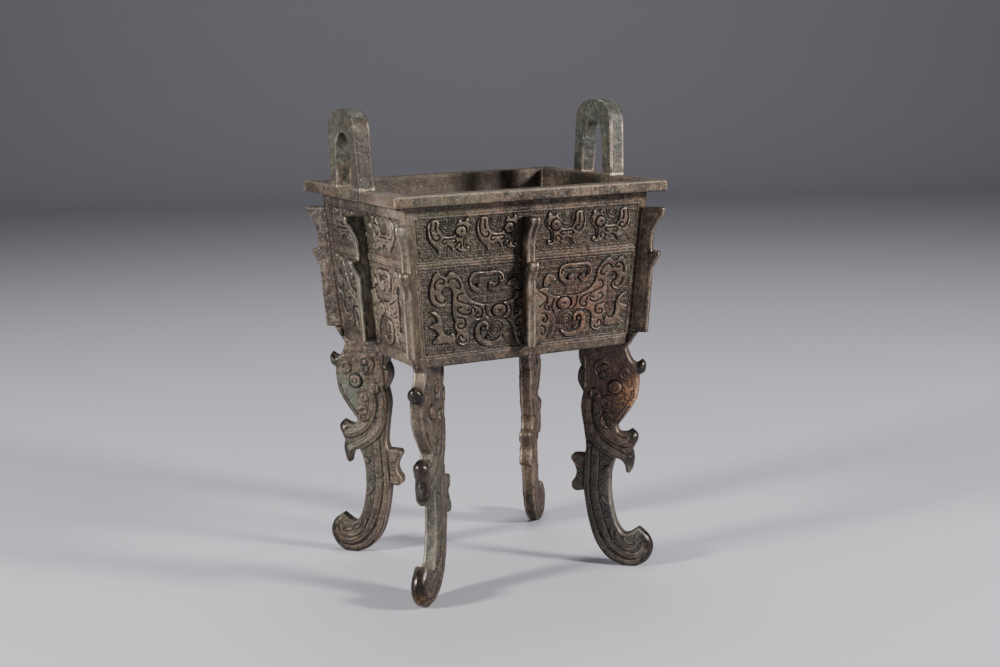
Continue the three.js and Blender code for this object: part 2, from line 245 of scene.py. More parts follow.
# How the patterns and the marks on the surface are put together: name, what is done, and with what
signals = [
    ("toneA", "MULTIPLY", "cloud", 0.3), ("toneB", "MULTIPLY_ADD", "blotch", 0.35, "toneA"),
    ("toneC", "MULTIPLY_ADD", "grain", 0.35, "toneB"), ("tone", "RAMP", "toneC", 0.42, 0.6),
    ("glints", "RAMP", "specks", 0.5, 0.57),
    ("wobbleA", "MULTIPLY", "cloud", 0.5), ("wobbleB", "MULTIPLY_ADD", "blotch", 0.6, "wobbleA"),
    ("wobble", "MULTIPLY_ADD", "grain", 1.3, "wobbleB"),
    # The polish mark gives the share of painted dark reflection on the tips.
    ("soil", "MULTIPLY", "ground", 0.85), ("polishedDarkReflection", "MULTIPLY", "polish", 0.9),
    ("plain", "SUBTRACT", 1.0, "polish"),
    ("mottleA", "MULTIPLY", "toneC", 0.4), ("mottleB", "MULTIPLY_ADD", "spots", 0.3, "mottleA"),
    ("mottleC", "MULTIPLY_ADD", "streaks", 0.3, "mottleB"), ("mottleD", "RAMP", "mottleC", 0.41, 0.59),
    ("mottleE", "MULTIPLY_ADD", "mottleD", 1.0, 0.5), ("shade", "MULTIPLY_ADD", "ground", -0.32, 1.0),
    ("mottle", "MULTIPLY", "mottleE", "shade"),
    ("rustA", "RAMP", "specks", 0.56, 0.68), ("rustB", "RAMP", "blotch", 0.42, 0.6),
    ("rustC", "MULTIPLY", "rustA", "rustB"), ("rustD", "ADD", "grain", 0.4),
    ("rustE", "MULTIPLY", "reddish", "rustD"), ("rustF", "MAXIMUM", "rustC", "rustE"),
    ("rust", "MULTIPLY", "rustF", 0.7),
    ("greenA", "RAMP", "spots", 0.54, 0.65), ("greenB", "RAMP", "cloud", 0.4, 0.56),
    ("greenC", "MULTIPLY", "greenA", "greenB"), ("verdigris", "MULTIPLY", "greenC", 0.65),
    ("dustA", "RAMP", "specks", 0.44, 0.31), ("dustB", "MULTIPLY_ADD", "ground", -0.4, 0.65),
    ("dust", "MULTIPLY", "dustA", "dustB"),
    # Worn edges and raised parts are lightened: partly wear, partly painted highlight.
    ("wornA", "MULTIPLY", "grain", 0.9), ("wornB", "MULTIPLY_ADD", "blotch", 0.6, "wornA"),
    ("wornC", "MULTIPLY_ADD", "wornAndHighlit", 0.25, "wornB"), ("wornD", "MULTIPLY", "wornAndHighlit", "wornC"),
    ("wornE", "MULTIPLY_ADD", "ground", -0.7, 1.0), ("wornF", "MULTIPLY", "wornD", "wornE"),
    ("rub", "RAMP", "wornF", 0.42, 0.95), ("rubbedAndHighlit", "MULTIPLY", "rub", 0.75),
    # Painted shade in the hollows, broken up by the grain.
    ("deepA", "MULTIPLY_ADD", "grain", 0.3, "hollowShade"), ("deepB", "RAMP", "deepA", 0.22, 0.8),
    ("paintedShade", "MULTIPLY", "deepB", 0.94),
    ("dull", "MAXIMUM", "verdigris", "rust"), ("shineA", "SUBTRACT", 1.0, "dull"),
    ("shineB", "MULTIPLY_ADD", "polish", 0.3, "rub"), ("shineC", "MULTIPLY", "shineB", 0.35),
    ("metalA", "MULTIPLY_ADD", "ground", -0.35, 0.6),
    ("roughA", "MULTIPLY_ADD", "grain", 0.3, 0.28), ("roughB", "MULTIPLY_ADD", "blotch", 0.22, "roughA"),
    ("roughC", "MULTIPLY_ADD", "dull", 0.2, "roughB"), ("roughD", "MULTIPLY_ADD", "rub", -0.14, "roughC"),
    ("rough", "MULTIPLY_ADD", "polish", -0.22, "roughD"),
    ("pitA", "RAMP", "pits", 0.2, 0.45), ("bumpA", "MULTIPLY", "grain", 0.9),
    ("bumpB", "MULTIPLY_ADD", "pitA", 0.5, "bumpA"), ("bump", "MULTIPLY_ADD", "specks", 0.45, "bumpB"),
    ("bumpStrength", "MULTIPLY_ADD", "polish", -0.5, 0.75),
]


def addNode(tree, kind, settings=None, links=None):
    # a node of that kind, with its settings, and with its inputs set or linked
    node = tree.nodes.new(kind)
    for key, value in (settings or {}).items():
        setattr(node, key, value)
    for key, value in (links or {}).items():
        if isinstance(value, bpy.types.NodeSocket):
            tree.links.new(value, node.inputs[key])
        else:
            node.inputs[key].default_value = value
    return node


def agedCastBronze():
    # Leaded bronze cast in clay moulds, buried for long: a thin dark brown-grey patina on metal, a soft
    # sheen on what hands and cloth have rubbed, lighter there partly as painted highlight, dull green and
    # reddish patches, black painted shade in the hollows, and a painted dark reflection on polished tips.
    material = bpy.data.materials.new("agedCastBronze")
    material.use_nodes = True
    tree = material.node_tree
    tree.nodes.clear()
    place = addNode(tree, "ShaderNodeTexCoord").outputs["Object"]
    ramp = {"interpolation_type": "SMOOTHSTEP"}
    values = {}
    for name in ("hollowShade", "wornAndHighlit", "ground", "polish", "reddish"):
        values[name] = addNode(tree, "ShaderNodeAttribute", {"attribute_name": name}).outputs["Fac"]
    for seed, (name, (size, detail, rough, drawn)) in enumerate(patterns.items()):
        spot = addNode(tree, "ShaderNodeVectorMath", {"operation": "MULTIPLY"},
                       {0: place, 1: (1, 1, 1 / drawn)})
        values[name] = addNode(tree, "ShaderNodeTexNoise", {"noise_dimensions": "4D"}, {
            "Vector": spot.outputs["Vector"], "W": seed + 1, "Scale": 1 / (size * mm), "Detail": detail,
            "Roughness": rough}).outputs["Fac"]
    for name, operation, *parts in signals:
        parts = [values.get(part, part) for part in parts]
        if operation == "RAMP":
            node = addNode(tree, "ShaderNodeMapRange", ramp,
                           {"Value": parts[0], "From Min": parts[1], "From Max": parts[2]})
        else:
            node = addNode(tree, "ShaderNodeMath", {"operation": operation}, dict(enumerate(parts)))
        values[name] = node.outputs[0]
    # coats from the metal outwards: share, colour, how metallic it stays, and how it is laid on
    def plainCoats(*pairs):
        return [(values[share], linear(patina[code]), None, "MIX") for share, code in pairs]
    # The third coat here is a painted dark reflection on the polished tips.
    coats = plainCoats(("tone", "light"), ("soil", "soil"), ("polishedDarkReflection", "polishedDarkReflection"))
    for code, middle, radius, strength, keep, *broken in patches:
        apart = addNode(tree, "ShaderNodeVectorMath", {"operation": "DISTANCE"},
                        {0: place, 1: tuple(v * mm for v in middle)}).outputs["Value"]
        edge = addNode(tree, "ShaderNodeMath", {"operation": "MULTIPLY_ADD"},
                       {0: apart, 1: 1 / (radius * mm), 2: values["wobble"]}).outputs[0]
        share = addNode(tree, "ShaderNodeMapRange", ramp, {
            "Value": edge, "From Min": coating["patchStart"], "From Max": coating["patchFull"],
            "To Max": strength}).outputs["Result"]
        share = addNode(tree, "ShaderNodeMath", {"operation": "MULTIPLY"},
                        {0: share, 1: values[broken[0] if broken else "plain"]}).outputs[0]
        coats.append((share, linear(code), keep, "MIX"))
    coats.append((1.0, values["mottle"], None, "MULTIPLY"))
    # Then rust, verdigris and dust, the lighter colour of worn edges (wear and painted highlight), and the
    # near-black painted shade in the hollows.
    coats += plainCoats(("rust", "rust"), ("verdigris", "verdigris"), ("dust", "dust"), ("rubbedAndHighlit", "wornAndHighlit"),
                        ("paintedShade", "paintedShade"))
    colour, metal = linear(patina["dark"]), values["metalA"]
    for share, over, keep, way in coats:
        colour = addNode(tree, "ShaderNodeMix", {"data_type": "RGBA", "blend_type": way},
                         {0: share, 6: colour, 7: over}).outputs[2]
        if keep is not None:
            metal = addNode(tree, "ShaderNodeMix", {"data_type": "FLOAT"},
                            {0: share, 2: metal, 3: keep}).outputs[0]
    metal = addNode(tree, "ShaderNodeMath", {"operation": "MULTIPLY_ADD", "use_clamp": True},
                    {0: metal, 1: values["shineA"], 2: values["shineC"]}).outputs[0]
    bump = addNode(tree, "ShaderNodeBump", None, {
        "Strength": values["bumpStrength"], "Distance": coating["bumpDepth"] * mm,
        "Height": values["bump"]}).outputs["Normal"]
    shader = addNode(tree, "ShaderNodeBsdfPrincipled", None, {
        "Base Color": colour, "Metallic": metal, "Roughness": values["rough"], "Normal": bump})
    addNode(tree, "ShaderNodeOutputMaterial", None, {"Surface": shader.outputs["BSDF"]})
    return material


bronze = agedCastBronze()
print("bronze mixed")

# The relief on the four sides: figures stand on a ground of fine square spirals.
relief = {
    "groundDepth": 0.62, "figureHeight": 0.62, "lineDepth": 0.75, "lineWidth": 0.75, "arcWidth": 0.7,
    "dotRise": 0.35, "eyeHeight": 1.25, "eyeDome": 0.6, "eyeRim": 0.86, "eyeGroove": 1.12,
    "eyeGrooveDepth": 0.8, "slot": (1.3, 0.65), "pupil": (0.8, 0.8), "pupilDepth": 0.7,
    "spiralCell": 3.7, "spiralRow": 0.86, "spiralPitch": 1.12, "spiralDepth": 0.55,
    "margin": 5.5, "bandLow": 185.5, "bandHigh": 189.4, "panelLow": 138.5, "panelHigh": 212.4,
    "mouldings": ((215.2, 0.3, 0.45), (217.1, 0.25, 0.4)), "frameLine": -1.0, "frameLineDepth": 0.22,
    # The two hollow entries give reach and depth of the painted shade in hollows; wornRise is the rise that
    # gets full wear and painted highlight.
    "edgeRadius": 1.1, "slabDepth": 1.6, "narrowHollow": (0.9, 0.36), "wideHollow": (2.2, 1.1),
    "wornRise": 0.5,
}

# The half mask: across from the middle line of the side, then up. It is given for the left half.
maskRegions = [
    [(-58.3, 180.5), (-56.6, 183), (-54.4, 183.4), (-52.4, 181.4), (-50.4, 181.2), (-48.6, 183),
     (-46.8, 183.3), (-43.4, 181.2), (-40.4, 177), (-39, 172), (-36.4, 168.2), (-32.5, 165.8), (-28, 164.5),
     (-20, 164.3), (-13, 164.8), (-9.7, 166.5), (-8.6, 169.6), (-6.5, 170), (-3, 169), (1.3, 169),
     (1.3, 139.6), (-6.3, 139.6), (-8.8, 146), (-11, 151.5), (-15, 155.3), (-20.5, 156.6), (-26.5, 156),
     (-31, 155.8), (-34.5, 154.6), (-36.6, 152), (-36.4, 147), (-37, 144.4), (-40, 142.6), (-43.2, 144.3),
     (-44.6, 147.3), (-43.8, 150), (-45.2, 153), (-45, 156.5), (-46.2, 160), (-46.4, 166), (-46.4, 172),
     (-48, 174.8), (-51.5, 175), (-52.8, 173.2), (-52.2, 170.7), (-50.3, 169.5), (-49.8, 167),
     (-51.5, 165.1), (-55, 164.9), (-58, 167), (-59.5, 170), (-59.8, 174.5)],
    [(-59.6, 162.8), (-56.6, 162.4), (-53.6, 160.2), (-52.3, 157), (-52.2, 153.4), (-51, 150), (-48.4, 149),
     (-46.6, 150), (-45, 148.4), (-44.6, 145.6), (-47, 144.6), (-52, 144.8), (-57.8, 145.4), (-56.4, 148),
     (-54.6, 149.8), (-56.4, 152.4), (-60, 154.6), (-57.6, 156), (-55.2, 157.2), (-56.2, 159.8)],
    [(-13.6, 173.5), (-12.5, 176), (-9, 177.1), (-6.4, 174.4), (-6.2, 170.6), (-8.4, 171), (-10.6, 172.9)],
]
maskStrokes = [
    [(-23.9, 175.2, 2.2), (-23.6, 172.6, 2.6), (-20.5, 171.6, 2.8), (-17.6, 173.8, 2.8), (-16.9, 177, 2.8),
     (-17.9, 179.7, 2.8), (-21, 180.8, 2.8), (-27, 180.7, 2.8), (-32.6, 180.8, 2.8), (-35, 179.4, 2.8),
     (-35, 176, 2.8), (-33.6, 173.2, 2.8), (-31, 172.2, 2.6), (-29.2, 174, 2)],
    [(-26, 150.4, 1.6), (-25.8, 152.4, 2), (-28, 153.8, 2.3), (-30.6, 152.7, 2.5), (-31.6, 149.6, 2.8),
     (-30.6, 145.6, 3.1), (-27.4, 142.8, 3.2), (-23.2, 142, 3), (-20, 142.8, 2.4), (-17.6, 144.7, 1.4)],
]
maskArcs = [
    [(-12.6, 149.6), (-11.2, 145.6), (-9.2, 141)],
    [(-15.3, 149), (-16, 152.4), (-19, 154.4), (-22.6, 154), (-25, 151.4), (-24.6, 147.6), (-22, 145.2)],
    [(-16.9, 148.4), (-17.4, 151.2), (-19.6, 152.8), (-22.2, 152.2), (-23.3, 149.8), (-22.6, 147.4),
     (-20, 146.4)],
    [(-18.5, 148), (-19, 150.2), (-20.6, 151.1), (-21.8, 150), (-21.4, 148.3)],
    [(-15.6, 146.6), (-14.4, 143.8), (-12.6, 140.6)],
]
maskLines = [
    [(-56.8, 174.8), (-57, 177.5), (-55.4, 179.6), (-53, 180.1), (-51.6, 178.6), (-52.6, 177.3),
     (-54, 177.6)],
    [(-49.4, 177.6), (-48.2, 179.3), (-46, 179.6), (-43.6, 178), (-42, 175.5), (-42.8, 173.9),
     (-44.4, 174.4)],
    [(-56.4, 171.2), (-55.6, 168.5), (-53, 166.8), (-51, 167.5), (-51.2, 168.9)],
    [(-40.6, 171), (-43, 170.6), (-43.9, 168.6), (-42.5, 166.8), (-38, 165.2), (-33.4, 163.9), (-30, 162.4),
     (-28.7, 160), (-29.5, 157.7), (-31.2, 156.9), (-32.8, 157.6), (-32.8, 159.2), (-31.2, 159.8)],
    [(-41.6, 163.6), (-43.2, 163.3), (-43.2, 161.4), (-41, 159.8), (-38, 159.2), (-35.6, 160.4),
     (-35.8, 162.3), (-37.6, 161.6)],
    [(-44, 158.2), (-40.2, 157.4), (-39, 156), (-39, 153.1), (-41, 152), (-43.3, 152.6), (-43, 154.4),
     (-41.4, 154.5)],
    [(-40.4, 146.9), (-41.2, 148.4), (-43, 147.4), (-42.8, 145.2), (-40, 144), (-38, 145.2)],
    [(-27.2, 163.2), (-26.6, 159.2), (-24.6, 156.9), (-20, 155.6), (-14.4, 155)],
    [(-34, 175), (-34.8, 177.5), (-33, 179.6), (-28.5, 180.4), (-27, 178.8)],
    [(-23, 179.4), (-20.4, 179.8), (-17.8, 179), (-16.9, 176.8)],
    [(-2.6, 168.4), (-8.6, 163.6), (-3.4, 159.2)],
    [(-8.6, 161.4), (-6.8, 159.8), (-7.2, 157.6), (-9, 157.4), (-9.6, 158.8), (-8.5, 159.2)],
    [(-5.2, 155.6), (-7.6, 154.4), (-8.4, 152), (-7, 150.4), (-5.6, 151.4), (-6.4, 152.6)],
    [(-5, 148.4), (-7, 147.2), (-7.2, 144.4), (-5.6, 143.2), (-4.8, 144.6)],
    [(-12.4, 162.8), (-11.2, 158.6), (-12.8, 154.6)],
    [(-29.6, 148.6), (-28.9, 145.7), (-26, 144), (-22.8, 143.8)],
    [(-36, 164.2), (-33.6, 161.8), (-33.4, 160.4)],
]
maskDots = [(-30.7, 174.6, 1.35), (-22.4, 174.4, 1.35), (-40.9, 162, 0.8), (-41.3, 146.2, 0.8),
            (-28.3, 150.6, 1.1), (-25.6, 145.8, 0.8)]
maskEye = (-18.8, 160.2, 4.6, 3.8)

# The small dragon: along from its middle, with its head at the low end, then up.
dragonRegion = [
    (-12.7, 4.8), (-11.3, 6), (-11, 8), (-9.7, 9.3), (-8.6, 7.7), (-6.9, 7.4), (-5.4, 8.7), (-4.4, 6.6),
    (-3.1, 3.4), (-2.4, 0.8), (-0.4, 0), (3, 0.3), (5, 1.7), (6.2, 4.5), (6.5, 7.8), (8.4, 9.2), (11, 8.7),
    (12.7, 6), (12.9, 2.4), (12, -1.5), (9.7, -4.7), (7.6, -6.6), (6.3, -8.9), (5, -8.2), (3.6, -5.9),
    (1.3, -5), (-0.7, -6), (-1.9, -7.9), (-4, -6.7), (-6, -8.4), (-9.4, -8.7), (-11.3, -7.5), (-10.7, -5.6),
    (-9, -6.2), (-8.6, -3.6), (-9.3, -0.8), (-11, 1), (-12.3, 3),
]
dragonLines = [
    [(-12, 4.6), (-10.9, 2), (-9, 0.2), (-8, -2), (-7.8, -5), (-8.6, -7), (-10, -7.3)],
    [(10.9, 8), (11.6, 4), (10.6, 0.2), (8.6, -1.9), (6.2, -1), (6.5, 0.9), (8, 1)],
    [(-1, -1.4), (-2.9, -1.8), (-3, -3.2), (-1.4, -3.6)],
    [(-1, -1.5), (3.4, -1.5), (4.7, -2.5), (4, -3.9), (2.6, -3.5)],
    [(-5.9, -6.6), (-6.4, -4.8), (-5, -3.7), (-3.5, -4.6), (-2.6, -6.4)],
    [(8.3, 7.6), (8.6, 4.6), (8, 2.6)],
]
dragonArcs = [
    [(-1.9, 8.8), (-1.2, 5.6), (1.6, 4), (4, 5.4), (4.8, 8.6)],
    [(-0.3, 8.8), (0.3, 6.7), (1.9, 5.7), (3.2, 6.9), (3.4, 8.8)],
    [(-2.2, 3.4), (0.6, 1.9), (3.6, 2.5), (5.1, 5)],
]
dragonEye = (-6.3, 2.4, 3.3, 3.2)


def squareSpirals(u, z):
    # raised lines that wind square round each cell
    cell, row = relief["spiralCell"], relief["spiralCell"] * relief["spiralRow"]
    shift = 0.5 * cell * (np.floor(z / row) % 2)
    i, j = np.floor((u + shift) / cell), np.floor(z / row)
    x = (u + shift) - (i + 0.5) * cell
    y = (z - (j + 0.5) * row) / relief["spiralRow"]
    x = np.where((i + j) % 2 > 0, -x, x)
    ring = np.maximum(np.abs(x), np.abs(y))
    turn = np.arctan2(y, x) / (2 * math.pi)
    return np.cos(2 * math.pi * (ring / relief["spiralPitch"] - turn))


def figureSet(side):
    # every figure of a side as (regions, strokes, arcs, lines, dots, eyes) in its own millimetres
    axis, stretch, dragons = side["axis"], side["stretch"], side["dragons"]
    regions, strokes, arcs, lines, dots, eyes = [], [], [], [], [], []
    for hand in (1, -1):
        def put(point):
            across = (point[0] - 1.3) * stretch * hand + axis
            return (across, *point[1:])
        regions += [[put(p) for p in region] for region in maskRegions]
        strokes += [[put(p) for p in stroke] for stroke in maskStrokes]
        arcs += [[put(p) for p in arc] for arc in maskArcs]
        lines += [[put(p) for p in line] for line in maskLines]
        dots += [put(p) for p in maskDots]
        eyes.append((*put(maskEye)[:2], maskEye[2], maskEye[3], True))
        for middle, up, scale in dragons[hand]:
            def putDragon(point):
                return (middle - hand * point[0] * scale, up + point[1], *point[2:])
            regions.append([putDragon(p) for p in dragonRegion])
            lines += [[putDragon(p) for p in line] for line in dragonLines]
            arcs += [[putDragon(p) for p in arc] for arc in dragonArcs]
            eyes.append((*putDragon(dragonEye)[:2], dragonEye[2], dragonEye[3], False))
    return regions, strokes, arcs, lines, dots, eyes


sides = {
    "front": {"turn": 0.0, "axis": 1.3, "stretch": 1.0, "crust": 0.08, "mouldings": 0.3,
              "dragons": {1: [(-47.8, 202.4, 1), (-19.1, 202.4, 1)],
                          -1: [(21.8, 201.9, 1), (50, 201.8, 1)]}},
    "right": {"turn": 0.5, "axis": 0, "stretch": 0.83, "crust": 0.1, "mouldings": 0.7,
              "dragons": {1: [(-28, 202, 1.3)], -1: [(28, 202, 1.3)]}},
    "back": {"turn": 1.0, "axis": 0, "stretch": 1.0, "crust": 0.12, "mouldings": 1.0,
             "dragons": {1: [(-48.5, 202, 1), (-20, 202, 1)], -1: [(20, 202, 1), (48.5, 202, 1)]}},
    "left": {"turn": 1.5, "axis": 0, "stretch": 0.83, "crust": 0.2, "mouldings": 0.2,
             "dragons": {1: [(-28, 202, 1.3)], -1: [(28, 202, 1.3)]}},
}


def growth(z, bottom, top):
    # how far a side has moved outwards at that height
    return (top - bottom) / 2 * (z - body["bottomZ"]) / (body["topZ"] - body["bottomZ"])


def reliefHeight(side, u, z, halfWidth, seed):
    # how far the surface stands out from the plain frame of a side
    at = np.column_stack([u, z])
    r = relief
    fromFrame = np.minimum.reduce([
        halfWidth - r["margin"] - np.abs(u), z - r["panelLow"], r["panelHigh"] - z,
        np.maximum(r["bandLow"] - z, z - r["bandHigh"])])
    panel = smoothStep(-0.2, 0.45, fromFrame)
    regions, strokes, arcs, lines, dots, eyes = figureSet(side)
    figure = np.minimum.reduce([regionDistance(at, region) for region in regions]
                               + [strokeDistance(at, smoothPath(stroke)) for stroke in strokes])
    thin = np.minimum.reduce([strokeDistance(at, smoothPath(arc), r["arcWidth"]) for arc in arcs])
    cut = np.minimum.reduce([strokeDistance(at, smoothPath(line), r["lineWidth"]) for line in lines])
    ragged = 0.55 + 0.45 * softNoise(u, z, 1.4, seed + 5)
    spirals = smoothStep(-0.7, 0.7, squareSpirals(u + 0.35 * softNoise(u, z, 5, seed + 6), z)) * ragged
    spirals = spirals * r["spiralDepth"] * smoothStep(0.3, 0.6, figure)
    spirals = spirals * smoothStep(0.35, 0.7, thin) * smoothStep(0.2, 0.6, fromFrame)
    ground = -r["groundDepth"] + spirals + r["groundDepth"] * smoothStep(0.25, -0.2, thin)
    rise = smoothStep(0.25, -0.3, figure)
    top = r["figureHeight"] - 0.08 + 0.1 * smoothStep(0, -2, figure)
    height = ground * (1 - rise) + top * rise
    height = height - r["lineDepth"] * smoothStep(0.3, -0.25, cut) * rise
    for x, y, radius in dots:
        away = np.hypot(u - x, z - y) / radius
        dome = r["figureHeight"] + r["dotRise"] * np.sqrt(np.clip(1 - away**2, 0, 1))
        height = np.where(away < 1, np.maximum(height, dome), height)
    for x, y, a, b, slotted in eyes:
        away = np.hypot((u - x) / a, (z - y) / b)
        dome = np.sqrt(np.clip(1 - (away / r["eyeRim"])**2, 0, 1))
        dome = r["eyeHeight"] - r["eyeDome"] + r["eyeDome"] * dome
        groove = (away >= r["eyeRim"]) & (away < r["eyeGroove"])
        height = np.where(away < r["eyeRim"], dome, height)
        height = np.where(groove, r["figureHeight"] - r["eyeGrooveDepth"], height)
        wide, high = r["slot"] if slotted else r["pupil"]
        height = height - r["pupilDepth"] * smoothStep(1.15, 0.6, np.hypot((u - x) / wide, (z - y) / high))
    height = height * panel
    # two fine mouldings under the rim, and a line inside the frame
    for middle, depth, wide in r["mouldings"]:
        height = height - side["mouldings"] * depth * ridge(z, middle, wide, 0.1)
    height = height - r["frameLineDepth"] * ridge(fromFrame, r["frameLine"], 0.4, 0.1)
    crust = side["crust"]
    waves = ((9, 0.12, seed), (2.3, crust, seed + 1), (1.1, crust * 0.6, seed + 3))
    pits = castPits(u, z, 1.7, 0.72, seed + 2)
    return height + castWaves(u, z, waves) - pits * (0.2 + crust), panel * (1 - rise)


def blurred(grid, rows):
    # a box average over that many steps each way, run twice
    for _ in range(2):
        for axis in (0, 1):
            pad = [(rows, rows) if k == axis else (0, 0) for k in (0, 1)]
            total = np.cumsum(np.pad(grid, pad, mode="edge"), axis)
            total = np.insert(total, 0, 0, axis)
            size = 2 * rows + 1
            if axis == 0:
                grid = (total[size:] - total[:-size]) / size
            else:
                grid = (total[:, size:] - total[:, :-size]) / size
    return grid


def faceSlab(sideName, pitch, seed):
    # one carved face: its front is a fine grid, its back is flat and lies inside the wall
    side = sides[sideName]
    lowZ, highZ = body["bottomZ"], body["topZ"]
    long = side["turn"] % 1 == 0
    width, topWidth = (body["bottomX"], body["topX"]) if long else (body["bottomY"], body["topY"])
    depth, topDepth = (body["bottomY"], body["topY"]) if long else (body["bottomX"], body["topX"])
    radius = relief["edgeRadius"]
    corner = radius * (1 - math.sqrt(0.5))
    rows = int((highZ - lowZ) / pitch) + 1
    z = np.linspace(lowZ, highZ, rows)
    half = width / 2 + growth(z, width, topWidth)
    cols = int(topWidth / pitch) + 1
    share = np.linspace(-1, 1, cols)
    u = share[None, :] * (half[:, None] - corner)
    zz = np.repeat(z[:, None], cols, 1)
    hh = np.repeat(half[:, None], cols, 1)
    height, ground = reliefHeight(side, u.ravel(), zz.ravel(), hh.ravel(), seed)
    height = height.reshape(rows, cols)
    near = np.clip(radius - (hh - np.abs(u)), 0, radius)
    sideDrop = radius - np.sqrt(np.maximum(radius**2 - near**2, 0))
    low = np.clip(radius - (zz - lowZ), 0, radius)
    sideDrop = np.maximum(sideDrop, radius - np.sqrt(np.maximum(radius**2 - low**2, 0)))
    height = height * smoothStep(0.2, 1.6, hh - np.abs(u)) - sideDrop
    # Painted shade: points lying below the blurred surface around them are darkened. Raised points get wear
    # and painted highlight.
    hollowShade = 0
    for reach, sunk in (relief["wideHollow"], relief["narrowHollow"]):
        around = blurred(height, max(1, int(round(reach / pitch))))
        hollowShade = np.maximum(hollowShade, np.clip((around - height) / sunk, 0, 1))
    raised = np.clip((height - around) / relief["wornRise"], 0, 1)
    lean = math.atan2((topDepth - depth) / 2, body["topZ"] - body["bottomZ"])
    y = -(depth / 2 + growth(zz, depth, topDepth)) - height * math.cos(lean)
    front = np.column_stack([u.ravel(), y.ravel(), (zz - height * math.sin(lean)).ravel()])
    ids = np.arange(rows * cols).reshape(rows, cols)
    around = (ids[:-1, :-1], ids[:-1, 1:], ids[1:, 1:], ids[1:, :-1])
    quads = np.column_stack([part.ravel() for part in around])
    rim = np.concatenate([ids[0, :-1], ids[:-1, -1], ids[-1, :0:-1], ids[:0:-1, 0]])
    inner = front[rim].copy()
    inset = relief["slabDepth"]
    inner[:, 0] -= np.sign(inner[:, 0]) * np.where(half.max() - np.abs(inner[:, 0]) < 12, inset, 0)
    inner[:, 1] = -(depth / 2 + growth(inner[:, 2], depth, topDepth)) + inset
    start = rows * cols
    count = len(rim)
    ring = np.arange(count)
    strips = np.column_stack([rim, start + ring, start + np.roll(ring, -1), np.roll(rim, -1)])
    points = np.vstack([front, inner])
    turn = side["turn"] * math.pi
    points = np.column_stack([points[:, 0] * math.cos(turn) - points[:, 1] * math.sin(turn),
                              points[:, 0] * math.sin(turn) + points[:, 1] * math.cos(turn), points[:, 2]])
    faces = quads.tolist() + strips.tolist() + [(start + ring).tolist()[::-1]]
    tail = np.zeros(count)
    marks = {"hollowShade": hollowShade.ravel(), "wornAndHighlit": raised.ravel(), "ground": ground}
    marks = {key: np.concatenate([values, tail]) for key, values in marks.items()}
    finishPiece(makePiece(sideName + "_face", points, faces, marks, bronze))


# which side, how fine its grid is in mm, and the seed of its unevenness
for faceValues in (("front", 0.376, 11), ("left", 0.38, 21), ("back", 0.5, 31), ("right", 0.5, 41)):
    faceSlab(*faceValues)
print("faces carved")

# Rim, inner walls, floor and underside as one closed shell of rounded rectangles
vessel = {
    "rimX": 165, "rimY": 138.7, "rimTop": 225.4, "wallTop": 2.8, "wallBottom": 3.6, "floorThickness": 4,
    "outerRadius": 1.6, "innerRadius": 1.4, "edge": 1.0, "lowEdge": 0.7, "mouthEdge": 0.8, "hidden": 1.1,
    # The three wear values lighten the rim's top arris, the upright corners and the mouth's lip: wear and
    # painted highlight.
    "step": 1.3, "waves": ((14, 0.16, 51), (3.1, 0.07, 52)), "insideRough": 1.2, "rimWear": 0.95,
    "cornerWear": 0.6, "mouthWear": 0.25,
}


def rectangleLoop(halfX, halfY, radius, countX, countY, cornerCount):
    # points anticlockwise from the front right corner's start; every loop has the same count
    loop = []
    corners = [((1, -1), countY), ((1, 1), countX), ((-1, 1), countY), ((-1, -1), countX)]
    for k, ((sx, sy), count) in enumerate(corners):
        mid = np.array([sx * (halfX - radius), sy * (halfY - radius)])
        begin = -math.pi / 2 + k * math.pi / 2
        for i in range(cornerCount):
            a = begin + (math.pi / 2) * i / (cornerCount - 1)
            loop.append(mid + radius * np.array([math.cos(a), math.sin(a)]))
        nextX, nextY = corners[(k + 1) % 4][0]
        goal = np.array([nextX * (halfX - radius), nextY * (halfY - radius)])
        goal = goal + radius * np.array([math.cos(begin + math.pi / 2), math.sin(begin + math.pi / 2)])
        for i in range(1, count):
            loop.append(loop[-1] + (goal - loop[-1]) / (count - i + 1))
    return np.array(loop)


def quarterTurn(steps):
    # sine and cosine from 0 to 90 degrees, for a rounded arris
    angles = [math.pi / 2 * k / steps for k in range(steps + 1)]
    return [(math.sin(a), math.cos(a)) for a in angles]


